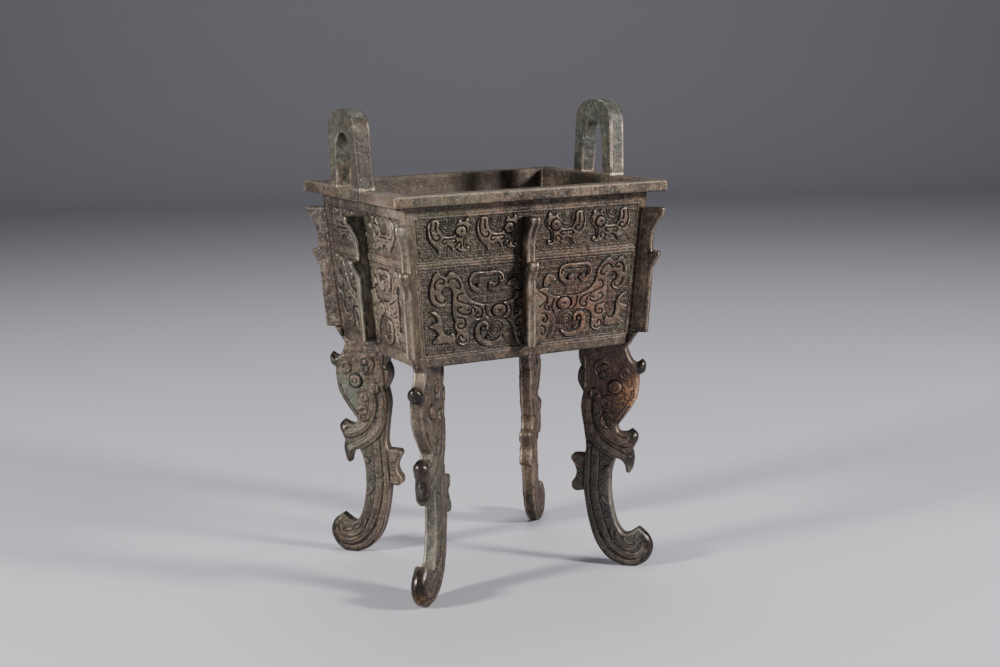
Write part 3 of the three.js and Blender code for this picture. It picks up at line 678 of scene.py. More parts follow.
def shellRows():
    # half length, half width, height and corner radius of each loop, from under the floor to inside it
    v = vessel
    x, y = v["rimX"] / 2, v["rimY"] / 2
    bottom, top, rimTop = body["bottomZ"], body["topZ"], v["rimTop"]
    edge, lowEdge, mouthEdge = v["edge"], v["lowEdge"], v["mouthEdge"]
    outer, inner = v["outerRadius"], v["innerRadius"]
    hiddenTop = (body["topX"] / 2 - v["hidden"], body["topY"] / 2 - v["hidden"])
    hiddenLow = (body["bottomX"] / 2 - v["hidden"], body["bottomY"] / 2 - v["hidden"])
    mouth = (body["topX"] / 2 - v["wallTop"], body["topY"] / 2 - v["wallTop"])
    floor = (body["bottomX"] / 2 - v["wallBottom"], body["bottomY"] / 2 - v["wallBottom"])
    rows = [(4, 4, bottom, 1)]
    rows += [(hiddenLow[0] * s, hiddenLow[1] * s, bottom, 1) for s in (0.35, 0.7, 1.0)]
    rows += [(hiddenTop[0], hiddenTop[1], top, 1)]
    rows += [(hiddenTop[0] + d, hiddenTop[1] + d, top, outer) for d in (2, 5, 7.6)]
    rows += [(x - lowEdge + lowEdge * s, y - lowEdge + lowEdge * s, top + lowEdge - lowEdge * c, outer)
             for s, c in quarterTurn(3)]
    rows += [(x, y, top + d, outer) for d in (1.6, 2.6, 3.6, 4.4)]
    rows += [(x - edge + edge * c, y - edge + edge * c, rimTop - edge + edge * s, outer)
             for s, c in quarterTurn(4)]
    across = x - mouth[0]
    rows += [(x - across * s, y - across * s, rimTop, outer) for s in (0.2, 0.32, 0.44, 0.56, 0.68, 0.8)]
    rows += [(mouth[0] + mouthEdge - mouthEdge * s, mouth[1] + mouthEdge - mouthEdge * s,
              rimTop - mouthEdge + mouthEdge * c, inner) for s, c in quarterTurn(3)]
    low = bottom + v["floorThickness"]
    rows += [(mouth[0], mouth[1], z, inner) for z in (222.5, 221)]
    rows += [(mouth[0] + (floor[0] - mouth[0]) * k / 30, mouth[1] + (floor[1] - mouth[1]) * k / 30,
              top + (low + 1.6 - top) * k / 30, outer) for k in range(31)]
    rows += [(floor[0] - d, floor[1] - d, low + up, outer) for d, up in ((0.5, 0.5), (1.6, 0))]
    rows += [(floor[0] * k / 10, floor[1] * k / 10, low, outer) for k in range(9, 0, -1)]
    return rows, mouth, low


def vesselShell():
    v = vessel
    x, y, bottom, top, rimTop = v["rimX"] / 2, v["rimY"] / 2, body["bottomZ"], body["topZ"], v["rimTop"]
    rows, mouth, low = shellRows()
    countX, countY = int(v["rimX"] / v["step"]), int(v["rimY"] / v["step"])
    loops, wearAndHighlight = [], []
    for halfX, halfY, z, radius in rows:
        loop = rectangleLoop(halfX, halfY, radius, countX, countY, 5)
        loops.append(np.column_stack([loop, np.full(len(loop), z)]))
        # Wear and painted highlight on the rim's top arris, the upright corners and the lip of the mouth.
        arris = smoothStep(rimTop - 1.4, rimTop - 0.25, z) * (halfX > x - 2.5) * v["rimWear"]
        corner = (np.abs(loop[:, 0]) > x - 1.8) & (np.abs(loop[:, 1]) > y - 1.8) & (z > top + 0.3)
        lip = v["mouthWear"] * (z > rimTop - 0.9) * (halfX < mouth[0] + 0.9)
        wearAndHighlight.append(np.maximum(arris, corner * v["cornerWear"]) + lip)
    points = np.vstack(loops)
    # an uneven cast surface: slow waves, and a rougher inside
    spot = points[:, 0] * 1.3 + points[:, 2] * 0.7
    other = points[:, 1] * 1.3 - points[:, 2] * 0.6
    shown = smoothStep(top - 0.5, top + 0.5, points[:, 2])
    inside = (np.abs(points[:, 0]) < mouth[0] + 0.1) & (np.abs(points[:, 1]) < mouth[1] + 0.1)
    inside = inside & (points[:, 2] > bottom + 1)
    wave = np.abs(castWaves(spot, other, v["waves"]))
    away = points[:, :2] / np.maximum(np.linalg.norm(points[:, :2], axis=1), 1)[:, None]
    points[:, 2] -= wave * shown
    points[:, :2] -= away * (wave * np.where(inside, v["insideRough"], shown))[:, None]
    n = len(loops[0])
    ids = np.arange(len(points)).reshape(len(loops), n)
    a, b = ids[:-1], ids[1:]
    quads = np.column_stack([a.ravel(), np.roll(a, -1, 1).ravel(), np.roll(b, -1, 1).ravel(), b.ravel()])
    faces = quads.tolist() + [ids[0].tolist()[::-1], ids[-1].tolist()]
    # Painted shade: darker deeper inside the vessel, and a painted shadow under the rim where it meets the
    # body.
    insideShade = np.where(inside, smoothStep(top - 1, low, points[:, 2]) * 0.4 + 0.2, 0)
    rimShadow = smoothStep(top + 0.6, top, points[:, 2]) * (np.abs(points[:, 2] - top) < 0.7) * ~inside * 0.8
    marks = {"hollowShade": np.maximum(insideShade, rimShadow), "wornAndHighlit": np.concatenate(wearAndHighlight)}
    finishPiece(makePiece("vessel_shell", points, faces, marks, bronze))


vesselShell()
print("vessel made")


def normalsOf(loop):
    # the directions to the left of a closed outline
    along = np.roll(loop, -1, 0) - np.roll(loop, 1, 0)
    along /= np.maximum(np.linalg.norm(along, axis=1), 1e-9)[:, None]
    return np.column_stack([-along[:, 1], along[:, 0]])


def gapTo(points, loops):
    # distance from the outline and its holes, up to 6 mm, negative outside
    gap = np.full(len(points), 6.0)
    within = np.zeros(len(points), bool)
    for loop in loops:
        gap = np.minimum(gap, strokeDistance(points, loop, reach=6.0, closed=True))
        within ^= insideOf(points, loop)
    return np.where(within, gap, -gap)


def flatNet(loops, pitch, edge):
    # a fine net over the outline, with rows of points along it where the edge is rounded
    at = np.vstack(loops)
    low, high = at.min(0), at.max(0)
    gx, gy = np.meshgrid(np.arange(low[0], high[0], pitch), np.arange(low[1], high[1], pitch * 0.87))
    gx = gx + (np.arange(gx.shape[0])[:, None] % 2) * pitch / 2
    grid = np.column_stack([gx.ravel(), gy.ravel()])
    rings = []
    for share in (0.16, 0.5, 1.0):
        for loop in loops:
            for hand in (1, -1):
                moved = loop + hand * share * edge * normalsOf(loop)
                rings.append(moved[np.abs(gapTo(moved, loops) - share * edge) < 0.06 * edge])
    points = np.vstack([at, *rings, grid[gapTo(grid, loops) > edge + pitch * 0.45]])
    edges, start = [], 0
    for loop in loops:
        n = len(loop)
        edges += [(start + i, start + (i + 1) % n) for i in range(n)]
        start += n
    made = delaunay_2d_cdt([Vector(p) for p in points], edges, [], 0, 1e-5)
    flat = np.array([tuple(p) for p in made[0]])
    order = {old: new for new, olds in enumerate(made[3]) for old in olds}
    triangles = np.array([t for t in made[2] if len(t) == 3])
    middle = flat[triangles].mean(1)
    inside = np.zeros(len(middle), bool)
    for loop in loops:
        inside ^= insideOf(middle, loop)
    return flat, triangles[inside], order


def plate(loops, pitch, thickness, edge, surface):
    # A plate with the given outline and holes, as (out, up, across). Both its faces are fine nets that round
    # over at the outline; surface(points, gap) gives how far a face stands out there, and its marks.
    loops = [np.asarray(loop) for loop in loops]
    flat, triangles, order = flatNet(loops, pitch, edge)
    gap = np.clip(gapTo(flat, loops), 0, None)
    extra, marks = surface(flat, gap)
    slim = marks.pop("slim", 1)
    polish = marks["polish"]
    radius = edge + polish * (thickness / 2 - 0.15 - edge)  # rubbed tips are round all over
    over = np.clip(radius - gap, 0, radius)
    stand = thickness / 2 - radius + np.sqrt(np.maximum(radius**2 - over**2, 0))
    stand = (stand + extra * smoothStep(0.2, np.maximum(radius, 1.4), gap)) * slim
    marks["hollowShade"] = marks["hollowShade"] * smoothStep(0, 1.2, gap)
    count = len(flat)
    points = [np.column_stack([flat, stand]), np.column_stack([flat, -stand])]
    marks = {key: [values, values] for key, values in marks.items()}
    faces = triangles.tolist() + (triangles[:, ::-1] + count).tolist()
    total, start = 2 * count, 0
    for loop in loops:
        # the narrow side between the two faces, in rows from one to the other
        n = len(loop)
        ids = np.array([order[start + i] for i in range(n)])
        start += n
        turn = np.sum(loop[:, 0] * np.roll(loop[:, 1], -1) - np.roll(loop[:, 0], -1) * loop[:, 1])
        inward = normalsOf(loop) * np.sign(turn) * (1 if loop is loops[0] else -1)
        rows = [ids]
        for share in (0.62, 0.2, -0.2, -0.62):
            dent = 0.2 + 0.2 * softNoise(flat[ids, 0] + share * 9, flat[ids, 1] + share * 7, 1.4, 91)
            dent = dent * (1 - polish[ids])
            points.append(np.column_stack([flat[ids] + inward * dent[:, None], stand[ids] * share]))
            for key, values in marks.items():
                fade = np.where(values[0][ids] > 1, 0.8, 0.1 + 0.4 * abs(share)) if key == "wornAndHighlit" else 1
                values.append(values[0][ids] * fade)
            rows.append(total + np.arange(n))
            total += n
        rows.append(ids + count)
        for upper, lower in zip(rows, rows[1:]):
            for i in range(n):
                a, b = int(upper[i]), int(upper[(i + 1) % n])
                c, d = int(lower[(i + 1) % n]), int(lower[i])
                if ids[i] != ids[(i + 1) % n]:
                    faces.append([b, a, d, c] if (turn > 0) == (loop is loops[0]) else [a, b, c, d])
    points = np.vstack(points)
    used = np.unique(np.concatenate([np.asarray(f) for f in faces]))
    renumber = np.full(len(points), -1)
    renumber[used] = np.arange(len(used))
    faces = [[int(renumber[v]) for v in f] for f in faces]
    # (out, up, across) becomes (x, -y, z)
    points = np.column_stack([points[:, 0], -points[:, 2], points[:, 1]])
    return points[used], faces, {key: np.concatenate(values)[used] for key, values in marks.items()}


def copiesTree():
    # a copy of one piece on each point, turned about the upright by the point's own "turn"
    tree = bpy.data.node_groups.new("copiesOnPoints", "GeometryNodeTree")
    tree.interface.new_socket("Points", in_out="INPUT", socket_type="NodeSocketGeometry")
    tree.interface.new_socket("Piece", in_out="INPUT", socket_type="NodeSocketObject")
    tree.interface.new_socket("Material", in_out="INPUT", socket_type="NodeSocketMaterial")
    tree.interface.new_socket("Geometry", in_out="OUTPUT", socket_type="NodeSocketGeometry")
    given = addNode(tree, "NodeGroupInput").outputs
    source = addNode(tree, "GeometryNodeObjectInfo", None, {"Object": given["Piece"]})
    turn = addNode(tree, "GeometryNodeInputNamedAttribute", {"data_type": "FLOAT"}, {"Name": "turn"})
    around = addNode(tree, "ShaderNodeCombineXYZ", None, {"Z": turn.outputs["Attribute"]})
    copies = addNode(tree, "GeometryNodeInstanceOnPoints", None, {
        "Points": given["Points"], "Instance": source.outputs["Geometry"],
        "Rotation": around.outputs["Vector"]})
    real = addNode(tree, "GeometryNodeRealizeInstances", None, {"Geometry": copies.outputs["Instances"]})
    coated = addNode(tree, "GeometryNodeSetMaterial", None, {
        "Geometry": real.outputs["Geometry"], "Material": given["Material"]})
    addNode(tree, "NodeGroupOutput", None, {"Geometry": coated.outputs["Geometry"]})
    return tree


copiesOnPoints = copiesTree()


def makeCopies(name, made, spots):
    # one piece made of copies of the given one; a spot is (x, y, angle in degrees)
    points, faces, marks = made
    single = makePiece(name + "_single", points, faces, marks, bronze)
    turns = {"turn": [math.radians(a) for *_, a in spots]}
    piece = makePiece(name, [(x, y, 0) for x, y, _ in spots], [], turns, bronze)
    modifier = piece.modifiers.new("copies", "NODES")
    modifier.node_group = copiesOnPoints
    sockets = copiesOnPoints.interface.items_tree
    sockets = {item.name: item.identifier for item in sockets if item.in_out == "INPUT"}
    modifier[sockets["Piece"]] = single
    modifier[sockets["Material"]] = bronze
    bpy.context.view_layer.update()
    mesh = bpy.data.meshes.new_from_object(piece.evaluated_get(bpy.context.evaluated_depsgraph_get()))
    piece.modifiers.clear()
    piece.data = mesh
    mesh.name = name
    bpy.data.objects.remove(single)
    finishPiece(piece)


def runsOutline(runs, scale, step):
    # an outline made of runs: each is smooth through its points, and runs meet at corners
    return np.vstack([smoothPath(np.array(run) * scale, step)[:-1] for run in runs])


# Legs: dragons with open jaws, a fin on the back and a tail that curls outwards
legs = {
    "height": 132, "thickness": 7.9, "edge": 1.5, "pitch": 0.6, "farRightTurn": 7, "farRightShift": -5,
    "bandRise": 0.75, "ribbonRise": 1.0, "scrollWidth": 0.9, "scrollRise": 0.65, "ringRise": 0.65,
    "eyeRise": 0.9, "eyeDome": 0.5, "eyeGroove": 0.35, "featherRise": 0.22, "pitDepth": 0.25,
    "waves": ((6, 0.12, 61), (1.9, 0.12, 62), (1.2, 0.06, 66)), "pits": (1.5, 0.62, 63), "tipSwell": 0.5,
}
legRuns = [
    [(2.6, 105.3), (-2.3, 98.2)],
    [(-2.3, 98.2), (-0.9, 94.4), (1.4, 91.9), (4.5, 93.8)],
    [(4.5, 93.8), (6, 91.5), (5.5, 88), (3.1, 86.4)],
    [(3.1, 86.4), (2.3, 78.8), (1, 74.5), (-2.7, 68.6), (-6.7, 63.3)],
    [(-6.7, 63.3), (-5.8, 60.9), (-2.7, 60.9), (-0.2, 62.6)],
    [(-0.2, 62.6), (2.2, 60.4), (2.4, 57.6), (0.2, 53.3)],
    [(0.2, 53.3), (0.9, 49.2), (0.1, 45), (-1.2, 42.6), (-2.2, 42.3), (-2.9, 43)],
    [(-2.9, 43), (-3.4, 46.2), (-5, 48.2), (-7.6, 49)],
    [(-7.6, 49), (-9.7, 41.7), (-9.7, 30.3), (-7.6, 20.1), (-4.7, 15.3), (-2, 15), (2.4, 18)],
    [(2.4, 18), (7.1, 14.5), (8.9, 8.8), (6.2, 2.7), (1.2, 0)],
    [(1.2, 0), (-4.8, 0)],
    [(-4.8, 0), (-11.7, 3.5), (-17, 10.6), (-20.2, 21.2), (-22.1, 33.5)],
    [(-22.1, 33.5), (-25.8, 33), (-27.6, 34.6)],
    [(-27.6, 34.6), (-27.5, 37), (-26, 39.2), (-25.3, 42), (-26.2, 45), (-27.8, 47.6)],
    [(-27.8, 47.6), (-26.8, 49.7), (-21.5, 50)],
    [(-21.5, 50), (-20.8, 53.8), (-21.7, 62.1), (-22.9, 71.2), (-21.8, 78.2)],
    [(-21.8, 78.2), (-24.1, 83), (-23.9, 87.1), (-22.6, 90)],
    [(-22.6, 90), (-23.6, 93.9), (-23.3, 100)],
    [(-23.3, 100), (-23.3, 101.4)],
    [(-23.3, 101.4), (-1.5, 101.4)],
    [(-1.5, 101.4), (-1.5, 105.3)],
    [(-1.5, 105.3), (2.6, 105.3)],
]
# Rolls along the neck, the jaws and the tail: outwards from the corner, up, width, in millimetres
legRibbons = [
    [(-24.9, 103.5, 4.6), (-26.4, 96, 5.2), (-25.8, 86, 5.4), (-21.4, 76, 5.6), (-13.2, 69, 5.6),
     (-5.4, 65, 5.2), (-1.8, 60.4, 3.8), (-1.6, 57.4, 2.2)],
    [(-19.4, 100.6, 3.8), (-19.8, 91, 4.6), (-16, 81.4, 5), (-9, 76, 5), (-2.6, 74.6, 4.4), (0.9, 78, 2)],
]
legBands = [
    [(-25.8, 72, 3), (-26.6, 56, 3.2), (-26.9, 44, 3.2), (-24.6, 29, 3.2), (-20.4, 16, 3.2), (-13.6, 7.2, 3),
     (-5.4, 2.9, 2.6), (1.4, 3, 2.4), (7.2, 6.2, 2.2), (9.4, 11, 1.6)],
    [(-21.2, 70, 4), (-22, 56, 4.2), (-22.2, 44, 4.2), (-20, 31, 4.2), (-16, 19.2, 4), (-10, 11.2, 3.6),
     (-2.8, 7, 3.2), (3, 7.6, 2.8), (6.2, 11.4, 2.2), (6.4, 15, 1.4)],
]
legLines = [
    [(-13.6, 120.8), (-17.6, 122), (-20.8, 119.4), (-20.6, 114.6), (-17.6, 111.8), (-14.6, 112)],
    [(-12.6, 101), (-15.6, 101), (-17.4, 98.4), (-16.2, 95.6), (-13.6, 95.4), (-13.2, 97.4)],
    [(-11, 89.6), (-14.4, 91), (-17.4, 88.4), (-17, 84.8), (-14.2, 83), (-11.4, 84.2), (-11.8, 87),
     (-14.2, 86.6)],
    [(1, 104.6), (-1, 98.8), (-5, 92.6), (-9.4, 87)],
    [(-2.6, 112), (-5.2, 112.6), (-6.2, 115.2), (-4.6, 117.6), (-2, 117.2), (-1.2, 115)],
    [(-32.4, 43.6), (-35, 45.4), (-35.4, 48.4), (-33, 52.6), (-30.4, 54.4)],
    [(-30.6, 58.6), (-33, 59.4), (-34.4, 61.6)],
    [(-27.6, 104.6), (-27, 112), (-27, 121), (-28.6, 131)],
    [(-12.6, 21.6), (-10.8, 15.4), (-6, 11.4), (-0.6, 10.6), (2.8, 12.8), (3.2, 16)],
    [(-9, 20.4), (-8.2, 17), (-5.4, 15.4)],
    [(-4.6, 17.2), (-2.8, 14.4), (0.4, 14.2)],
    [(-17.6, 41.4), (-15.6, 38), (-13.2, 37)],
    [(-3, 79.4), (1.6, 75)],
]
legRings = [(-15.8, 118.2, 1.7), (-16.6, 114, 1.7), (-21.4, 102.6, 3.2), (-14.6, 58, 1.8), (-28.6, 116, 1.2)]
legEye = (-9.5, 107, 3.8)
# Tips that hands have polished: outwards, up, radius
legTips = [(8, 118.5, 7.5), (3.4, 78, 7), (1.4, 65, 6.5), (13, 11, 14)]
# Ends that narrow like an egg: beyond this far out, from one height to another
legEnds = [(2, 117.5, 124.8), (-3, 76.5, 83.6), (-5, 62.5, 55.4), (-40, 5, -3)]
legTail = [(10, -7), (20, -9), (35, -13.6), (50, -15.8), (70, -14)]  # up, then the middle of the tail


def legSurface(at, gap):
    x, z = at[:, 0], at[:, 1]
    # Darkening in the grooves, beside the scroll lines and in pits is painted shade; the lightening of edges
    # and rolls is wear and painted highlight.
    height, hollowShade, reddish = np.zeros(len(at)), np.zeros(len(at)), np.zeros(len(at))
    wornAndHighlit = smoothStep(1.6, 0.2, gap) * 0.75
    ragged = 0.65 + 0.35 * softNoise(x, z, 3, 67)
    for rolls, rise in ((legBands, legs["bandRise"]), (legRibbons, legs["ribbonRise"])):
        for roll in rolls:
            inside = strokeDistance(at, smoothPath(roll))
            over = smoothStep(0.3, -0.35, inside)
            crest = 0.35 + 0.5 * smoothStep(0, -2.2, inside) + 0.2 * ridge(inside, -0.5, 0.5, 0.1)
            crest = crest * rise
            line = ridge(inside, -1.5, 0.45, 0.1) * over
            height = height * (1 - over) + (crest - 0.22 * line) * over
            groove = ridge(inside, 0.3, 0.75, 0.25) * (over < 0.5) * ragged
            hollowShade = np.maximum(hollowShade * (1 - over), np.maximum(groove, line * 0.4 * ragged))
            wornAndHighlit = np.maximum(wornAndHighlit, ridge(inside, -0.6, 0.8, 0.2) * 0.55)
            reddish = np.maximum(reddish * (1 - over), ridge(inside, -0.3, 0.8, 0.1) * ragged)
    for line in legLines:
        inside = strokeDistance(at, smoothPath(line), legs["scrollWidth"])
        height = height + legs["scrollRise"] * smoothStep(0.35, -0.4, inside)
        hollowShade = np.maximum(hollowShade, smoothStep(1, 0.4, inside) * (inside > 0.1) * 0.95 * ragged)
        wornAndHighlit = np.maximum(wornAndHighlit, smoothStep(0.1, -0.4, inside) * 0.5)
        reddish = np.maximum(reddish, smoothStep(0.7, 0, inside) * ragged)
    for middle, up, radius in legRings:
        away = np.hypot(x - middle, z - up) - radius
        height = height + legs["ringRise"] * smoothStep(0.4, -0.5, away)
        hollowShade = np.maximum(hollowShade, ridge(away, 0.4, 0.8, 0.3) * 0.95 * ragged)
        wornAndHighlit = np.maximum(wornAndHighlit, smoothStep(0, -0.6, away) * 0.4)
    away = np.hypot(x - legEye[0], z - legEye[1]) - legEye[2]
    disc = legs["eyeRise"] + legs["eyeDome"] * np.sqrt(np.clip(1 - (1 + away / legEye[2])**2, 0, 1))
    rise = smoothStep(0.3, -0.3, away)
    ring = ridge(away, -2.2, 0.5, 0.15)
    height = height * (1 - rise) + disc * rise - legs["eyeGroove"] * ring
    hollowShade = np.maximum(hollowShade * (1 - rise), np.maximum(ring * 0.5, ridge(away, 0.5, 0.9, 0.3) * 0.65))
    # short slanting barbs down the tail
    slant = np.abs(x - np.interp(z, *zip(*legTail)))
    feather = smoothStep(4.6, 3.4, slant) * smoothStep(12, 18, z) * smoothStep(70, 64, z) * (height < 0.2)
    barb = np.cos(2 * math.pi * (z / 3.1 + slant / 2.8 + softNoise(x, z, 4, 64) * 0.3))
    barb = smoothStep(0.1, 0.9, barb)
    height = height + legs["featherRise"] * feather * barb * (0.6 + 0.4 * softNoise(x, z, 2, 65))
    hollowShade = np.maximum(hollowShade, feather * (1 - barb) * 0.3)
    pits = castPits(x, z, *legs["pits"])
    # Polished tips: rounder and smoother, and darkened as a painted dark reflection.
    polish = np.zeros(len(at))
    for middle, up, radius in legTips:
        polish = np.maximum(polish, smoothStep(radius, radius * 0.5, np.hypot(x - middle, (z - up) * 0.7)))
    polish = polish * smoothStep(5.5, 3, gap)
    plain = 1 - polish
    slim = np.ones(len(at))
    for out, full, end in legEnds:
        share = (z - full) / (end - full)
        narrow = np.sqrt(1 - 0.85 * np.clip(share, 0, 1) ** 2)
        slim *= np.where((x > out) & (share > 0) & (share < 1.05), narrow, 1)
    height = (height + castWaves(x, z, legs["waves"]) - legs["pitDepth"] * pits) * plain
    return height + legs["tipSwell"] * polish, {
        "hollowShade": np.maximum(hollowShade, pits * 0.45) * plain, "wornAndHighlit": wornAndHighlit * (1 - 0.6 * polish),
        "polish": polish, "reddish": reddish * plain, "slim": slim}


def makeLegs():
    outline = runsOutline(legRuns, legs["height"] / 100, 0.8)
    made = plate([outline], legs["pitch"], legs["thickness"], legs["edge"], legSurface)
    made[0][:, 2] = np.maximum(made[0][:, 2], 0)
    x, y = body["bottomX"] / 2, body["bottomY"] / 2
    makeCopies("near_legs", made, [(-x, -y, -135), (x, -y, -45)])
    makeCopies("far_legs", made, [(-x, y, 135), (x + legs["farRightShift"], y, 45 + legs["farRightTurn"])])


makeLegs()
print("legs made")

# Flanges: hooked plates on the corners and in the middle of each side
flanges = {
    "thickness": 5.6, "edge": 1.5, "pitch": 0.85, "low": 139, "high": 210.4, "hook": 11, "root": 2.5,
    "waves": ((1.8, 0.12, 72),), "longWave": (5, 0.14, 71), "pits": (1.6, 0.65, 73), "pitDepth": 0.2,
    "line": 2.2, "lineDepth": 0.3,
}
# The hooked outline: outwards in hundredths of the hook, up in hundredths of the flange's height
flangeEdge = [(73.7, 0), (68.8, 35.3), (65.2, 50.8), (82, 56.4), (100, 62.5), (96, 65), (58.1, 65.8),
              (55.3, 72.5), (58.1, 81.8), (76, 88.8), (100, 94.4), (102, 98), (96, 99.7)]


def flangeSurface(at, gap):
    x, z = at[:, 0], at[:, 1]
    # Painted shade in the incised line and the pits; wear and painted highlight along the edges.
    line = ridge(gap, flanges["line"], 0.5, 0.15)
    rough = castWaves(x * 1.3, z, [flanges["longWave"]]) + castWaves(x, z, flanges["waves"])
    pits = castPits(x, z, *flanges["pits"])
    wearAndHighlight = smoothStep(1.2, 0.2, gap) * (0.8 + 0.2 * softNoise(x, z, 6, 74))
    return rough - flanges["lineDepth"] * line - flanges["pitDepth"] * pits, {
        "hollowShade": np.maximum(line * 0.5, pits * 0.4), "wornAndHighlit": wearAndHighlight, "polish": pits * 0, "reddish": pits * 0}


def makeFlanges():
    low, high, hook, root = (flanges[key] for key in ("low", "high", "hook", "root"))
    x, y, shift = body["bottomX"] / 2, body["bottomY"] / 2, body["frontFlangeShift"]
    growthX = [growth(z, body["bottomX"], body["topX"]) for z in (low, high)]
    growthY = [growth(z, body["bottomY"], body["topY"]) for z in (low, high)]
    diagonal = [(a + b) * math.sqrt(0.5) for a, b in zip(growthX, growthY)]
    kinds = {
        "corner_flanges": (diagonal, [(-x, -y, -135), (x, -y, -45), (x, y, 45), (-x, y, 135)]),
        "long_side_flanges": (growthY, [(shift, -y, -90), (0, y, 90)]),
        "short_side_flanges": (growthX, [(x, 0, 0), (-x, 0, 180)]),
    }
    for name, ((foot, head), spots) in kinds.items():
        edge = [(foot + (head - foot) * up / 100 + hook * out / 100, low + (high - low) * up / 100)
                for out, up in flangeEdge]
        edge += [(head - root, high), (foot - root, low)]
        ends = ((0, 3), (2, 5), (4, 6), (5, 7), (6, 11), (10, 13), (12, 14), (13, 15), (14, 16))
        edge.append(edge[0])
        outline = runsOutline([edge[a:b] for a, b in ends], 1, 0.8)
        made = plate([outline], flanges["pitch"], flanges["thickness"], flanges["edge"], flangeSurface)
        makeCopies(name, made, spots)


makeFlanges()
print("flanges made")

# Handles: upright plates with a round-topped hole, leaning outwards a little
handles = {
    "base": 45, "shoulder": 40.4, "height": 43.4, "shoulderHeight": 30, "squareness": 2.4,
    "thickness": 9.6, "lean": 1.5, "proud": 0.4, "holeBase": 24.6, "holeSpring": 20,
    "holeSpringHeight": 19.5, "holeHeight": 30.5, "holeFoot": 0.4, "holeSquareness": 2.3,
    "edge": 1.2, "pitch": 0.8,
    "waves": ((8, 0.15, 81), (2.1, 0.12, 82)), "pits": (1.7, 0.65, 83), "pitDepth": 0.2, "sunk": 0.15,
}


def archLoop(halfBase, halfTop, foot, spring, top, squareness, step=0.7):
    # an arch with straight feet, as one closed outline
    corners = [(halfBase, foot)]
    for i in range(41):
        c, s = math.cos(math.pi * i / 40), math.sin(math.pi * i / 40)
        corners.append((math.copysign(abs(c) ** (2 / squareness), c) * halfTop,
                        spring + abs(s) ** (2 / squareness) * (top - spring)))
    corners.append((-halfBase, foot))
    out = []
    for a, b in zip(corners, corners[1:] + corners[:1]):
        count = max(1, int(math.hypot(b[0] - a[0], b[1] - a[1]) / step))
        out += [(a[0] + (b[0] - a[0]) * i / count, a[1] + (b[1] - a[1]) * i / count) for i in range(count)]
    return np.array(out)


def handleSurface(at, gap):
    x, z = at[:, 0], at[:, 1]
    # Painted shade in the pits and, faintly, low on the foot below the rim's top; wear and painted highlight
    # along the edges, and a lighter line along the foot at the rim's top.
    pits = castPits(x, z, *handles["pits"])
    wearAndHighlight = smoothStep(1.4, 0.2, gap) * (0.6 + 0.4 * softNoise(x, z, 7, 84))
    wearAndHighlight = np.maximum(wearAndHighlight, ridge(z, 0.5, 1.2, 0.4) * 1.2)
    hollowShade = np.maximum(pits * 0.4, smoothStep(-0.4, -1.4, z) * 0.05)
    return castWaves(x, z, handles["waves"]) - handles["sunk"] - handles["pitDepth"] * pits, {
        "hollowShade": hollowShade, "wornAndHighlit": wearAndHighlight, "polish": pits * 0, "reddish": pits * 0}


def makeHandles():
    h = handles
    rimTop = vessel["rimTop"]
    foot = body["topZ"] - rimTop
    outer = archLoop(h["base"] / 2, h["shoulder"] / 2, foot, h["shoulderHeight"], h["height"],
                     h["squareness"])
    hole = archLoop(h["holeBase"] / 2, h["holeSpring"] / 2, h["holeFoot"], h["holeSpringHeight"],
                    h["holeHeight"], h["holeSquareness"])
    points, faces, marks = plate([outer, hole], h["pitch"], h["thickness"], h["edge"], handleSurface)
    lean = h["lean"] * np.maximum(0, points[:, 2]) / h["height"]
    away = vessel["rimX"] / 2 + h["proud"] - h["thickness"] / 2 - points[:, 1] + lean
    spot = np.column_stack([away, points[:, 0], rimTop + points[:, 2]])
    makeCopies("upright_handles", (spot, faces, marks), [(0, 0, 0), (0, 0, 180)])


makeHandles()
print("handles made")

# Floor and lights
studio = {
    "floor": "#aeaeb8", "flat": 2.2, "bend": 1.4, "wall": 5, "reach": 7,
    "world": 0.075, "worldColour": (0.85, 0.9, 1, 1), "aim": (0, 0, 0.15),
}
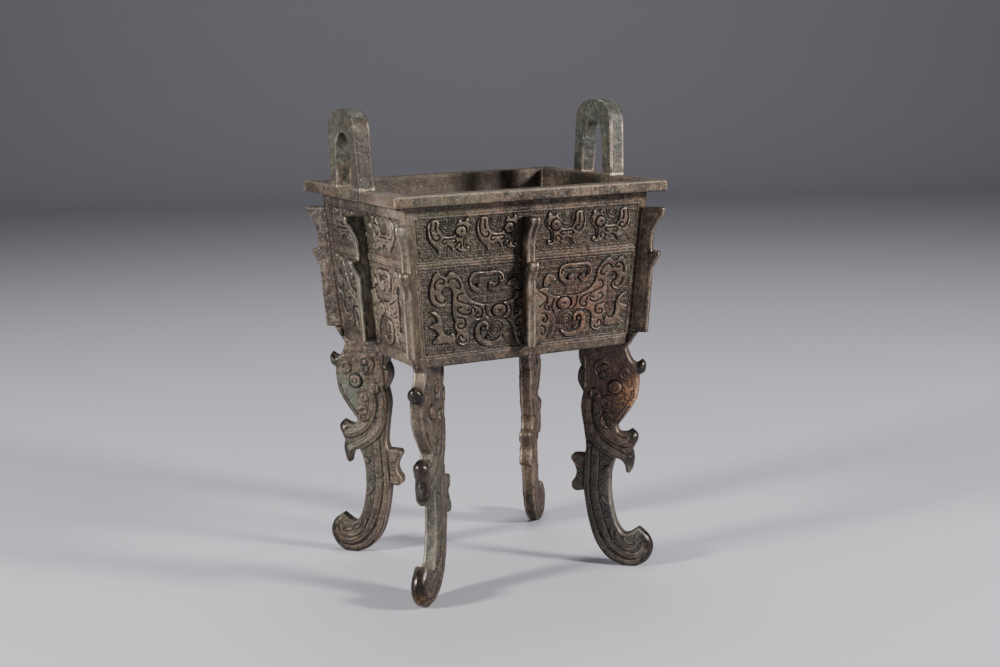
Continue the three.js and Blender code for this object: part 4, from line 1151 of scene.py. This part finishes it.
# Each light: where it stands and how wide it is, in metres, then its power and colour
lights = {
    "rightKey": ((0.85, -1.0, 0.68), 0.24, 35, (1, 0.96, 0.92)),
    "leftKey": ((-1.35, -0.06, 0.62), 0.24, 37, (1, 0.97, 0.93)),
    "overhead": ((0.15, 0.35, 1.25), 0.5, 7, (0.95, 0.97, 1)),
    "cameraFill": ((-0.5, -1.3, 0.5), 0.9, 2, (0.95, 0.97, 1)),
}


def makeStudio():
    # a sheet of matt paper, flat under the vessel and bent up behind it
    material = bpy.data.materials.new("mattPaper")
    material.use_nodes = True
    shader = material.node_tree.nodes["Principled BSDF"]
    shader.inputs["Base Color"].default_value = linear(studio["floor"])
    shader.inputs["Roughness"].default_value = 0.75
    flat, bend = studio["flat"], studio["bend"]
    profile = [(-studio["reach"], 0), (flat, 0)]
    for k in range(1, 25):
        a = math.pi / 2 * k / 24
        profile.append((flat + bend * math.sin(a), bend - bend * math.cos(a)))
    profile.append((flat + bend, studio["wall"]))
    yaw = math.radians(camera["yaw"])
    points, faces = [], []
    for away, high in profile:
        for across in (-studio["reach"], studio["reach"]):
            points.append((away * math.sin(yaw) + across * math.cos(yaw),
                           away * math.cos(yaw) - across * math.sin(yaw), high))
    for k in range(len(profile) - 1):
        faces.append((2 * k, 2 * k + 1, 2 * k + 3, 2 * k + 2))
    mesh = bpy.data.meshes.new("paper_sweep")
    mesh.from_pydata(points, [], faces)
    mesh.materials.append(material)
    mesh.shade_smooth()
    sweep = bpy.data.objects.new("paper_sweep", mesh)
    bpy.context.scene.collection.objects.link(sweep)
    world = bpy.data.worlds.new("studio")
    bpy.context.scene.world = world
    world.use_nodes = True
    world.node_tree.nodes["Background"].inputs["Color"].default_value = studio["worldColour"]
    world.node_tree.nodes["Background"].inputs["Strength"].default_value = studio["world"]
    for name, (place, size, power, colour) in lights.items():
        data = bpy.data.lights.new(name, "AREA")
        data.shape, data.size, data.energy, data.color = "DISK", size, power, colour
        lamp = bpy.data.objects.new(name, data)
        lamp.location = place
        lamp.rotation_euler = (Vector(studio["aim"]) - Vector(place)).to_track_quat("-Z", "Y").to_euler()
        bpy.context.scene.collection.objects.link(lamp)


makeStudio()
print("studio lit")
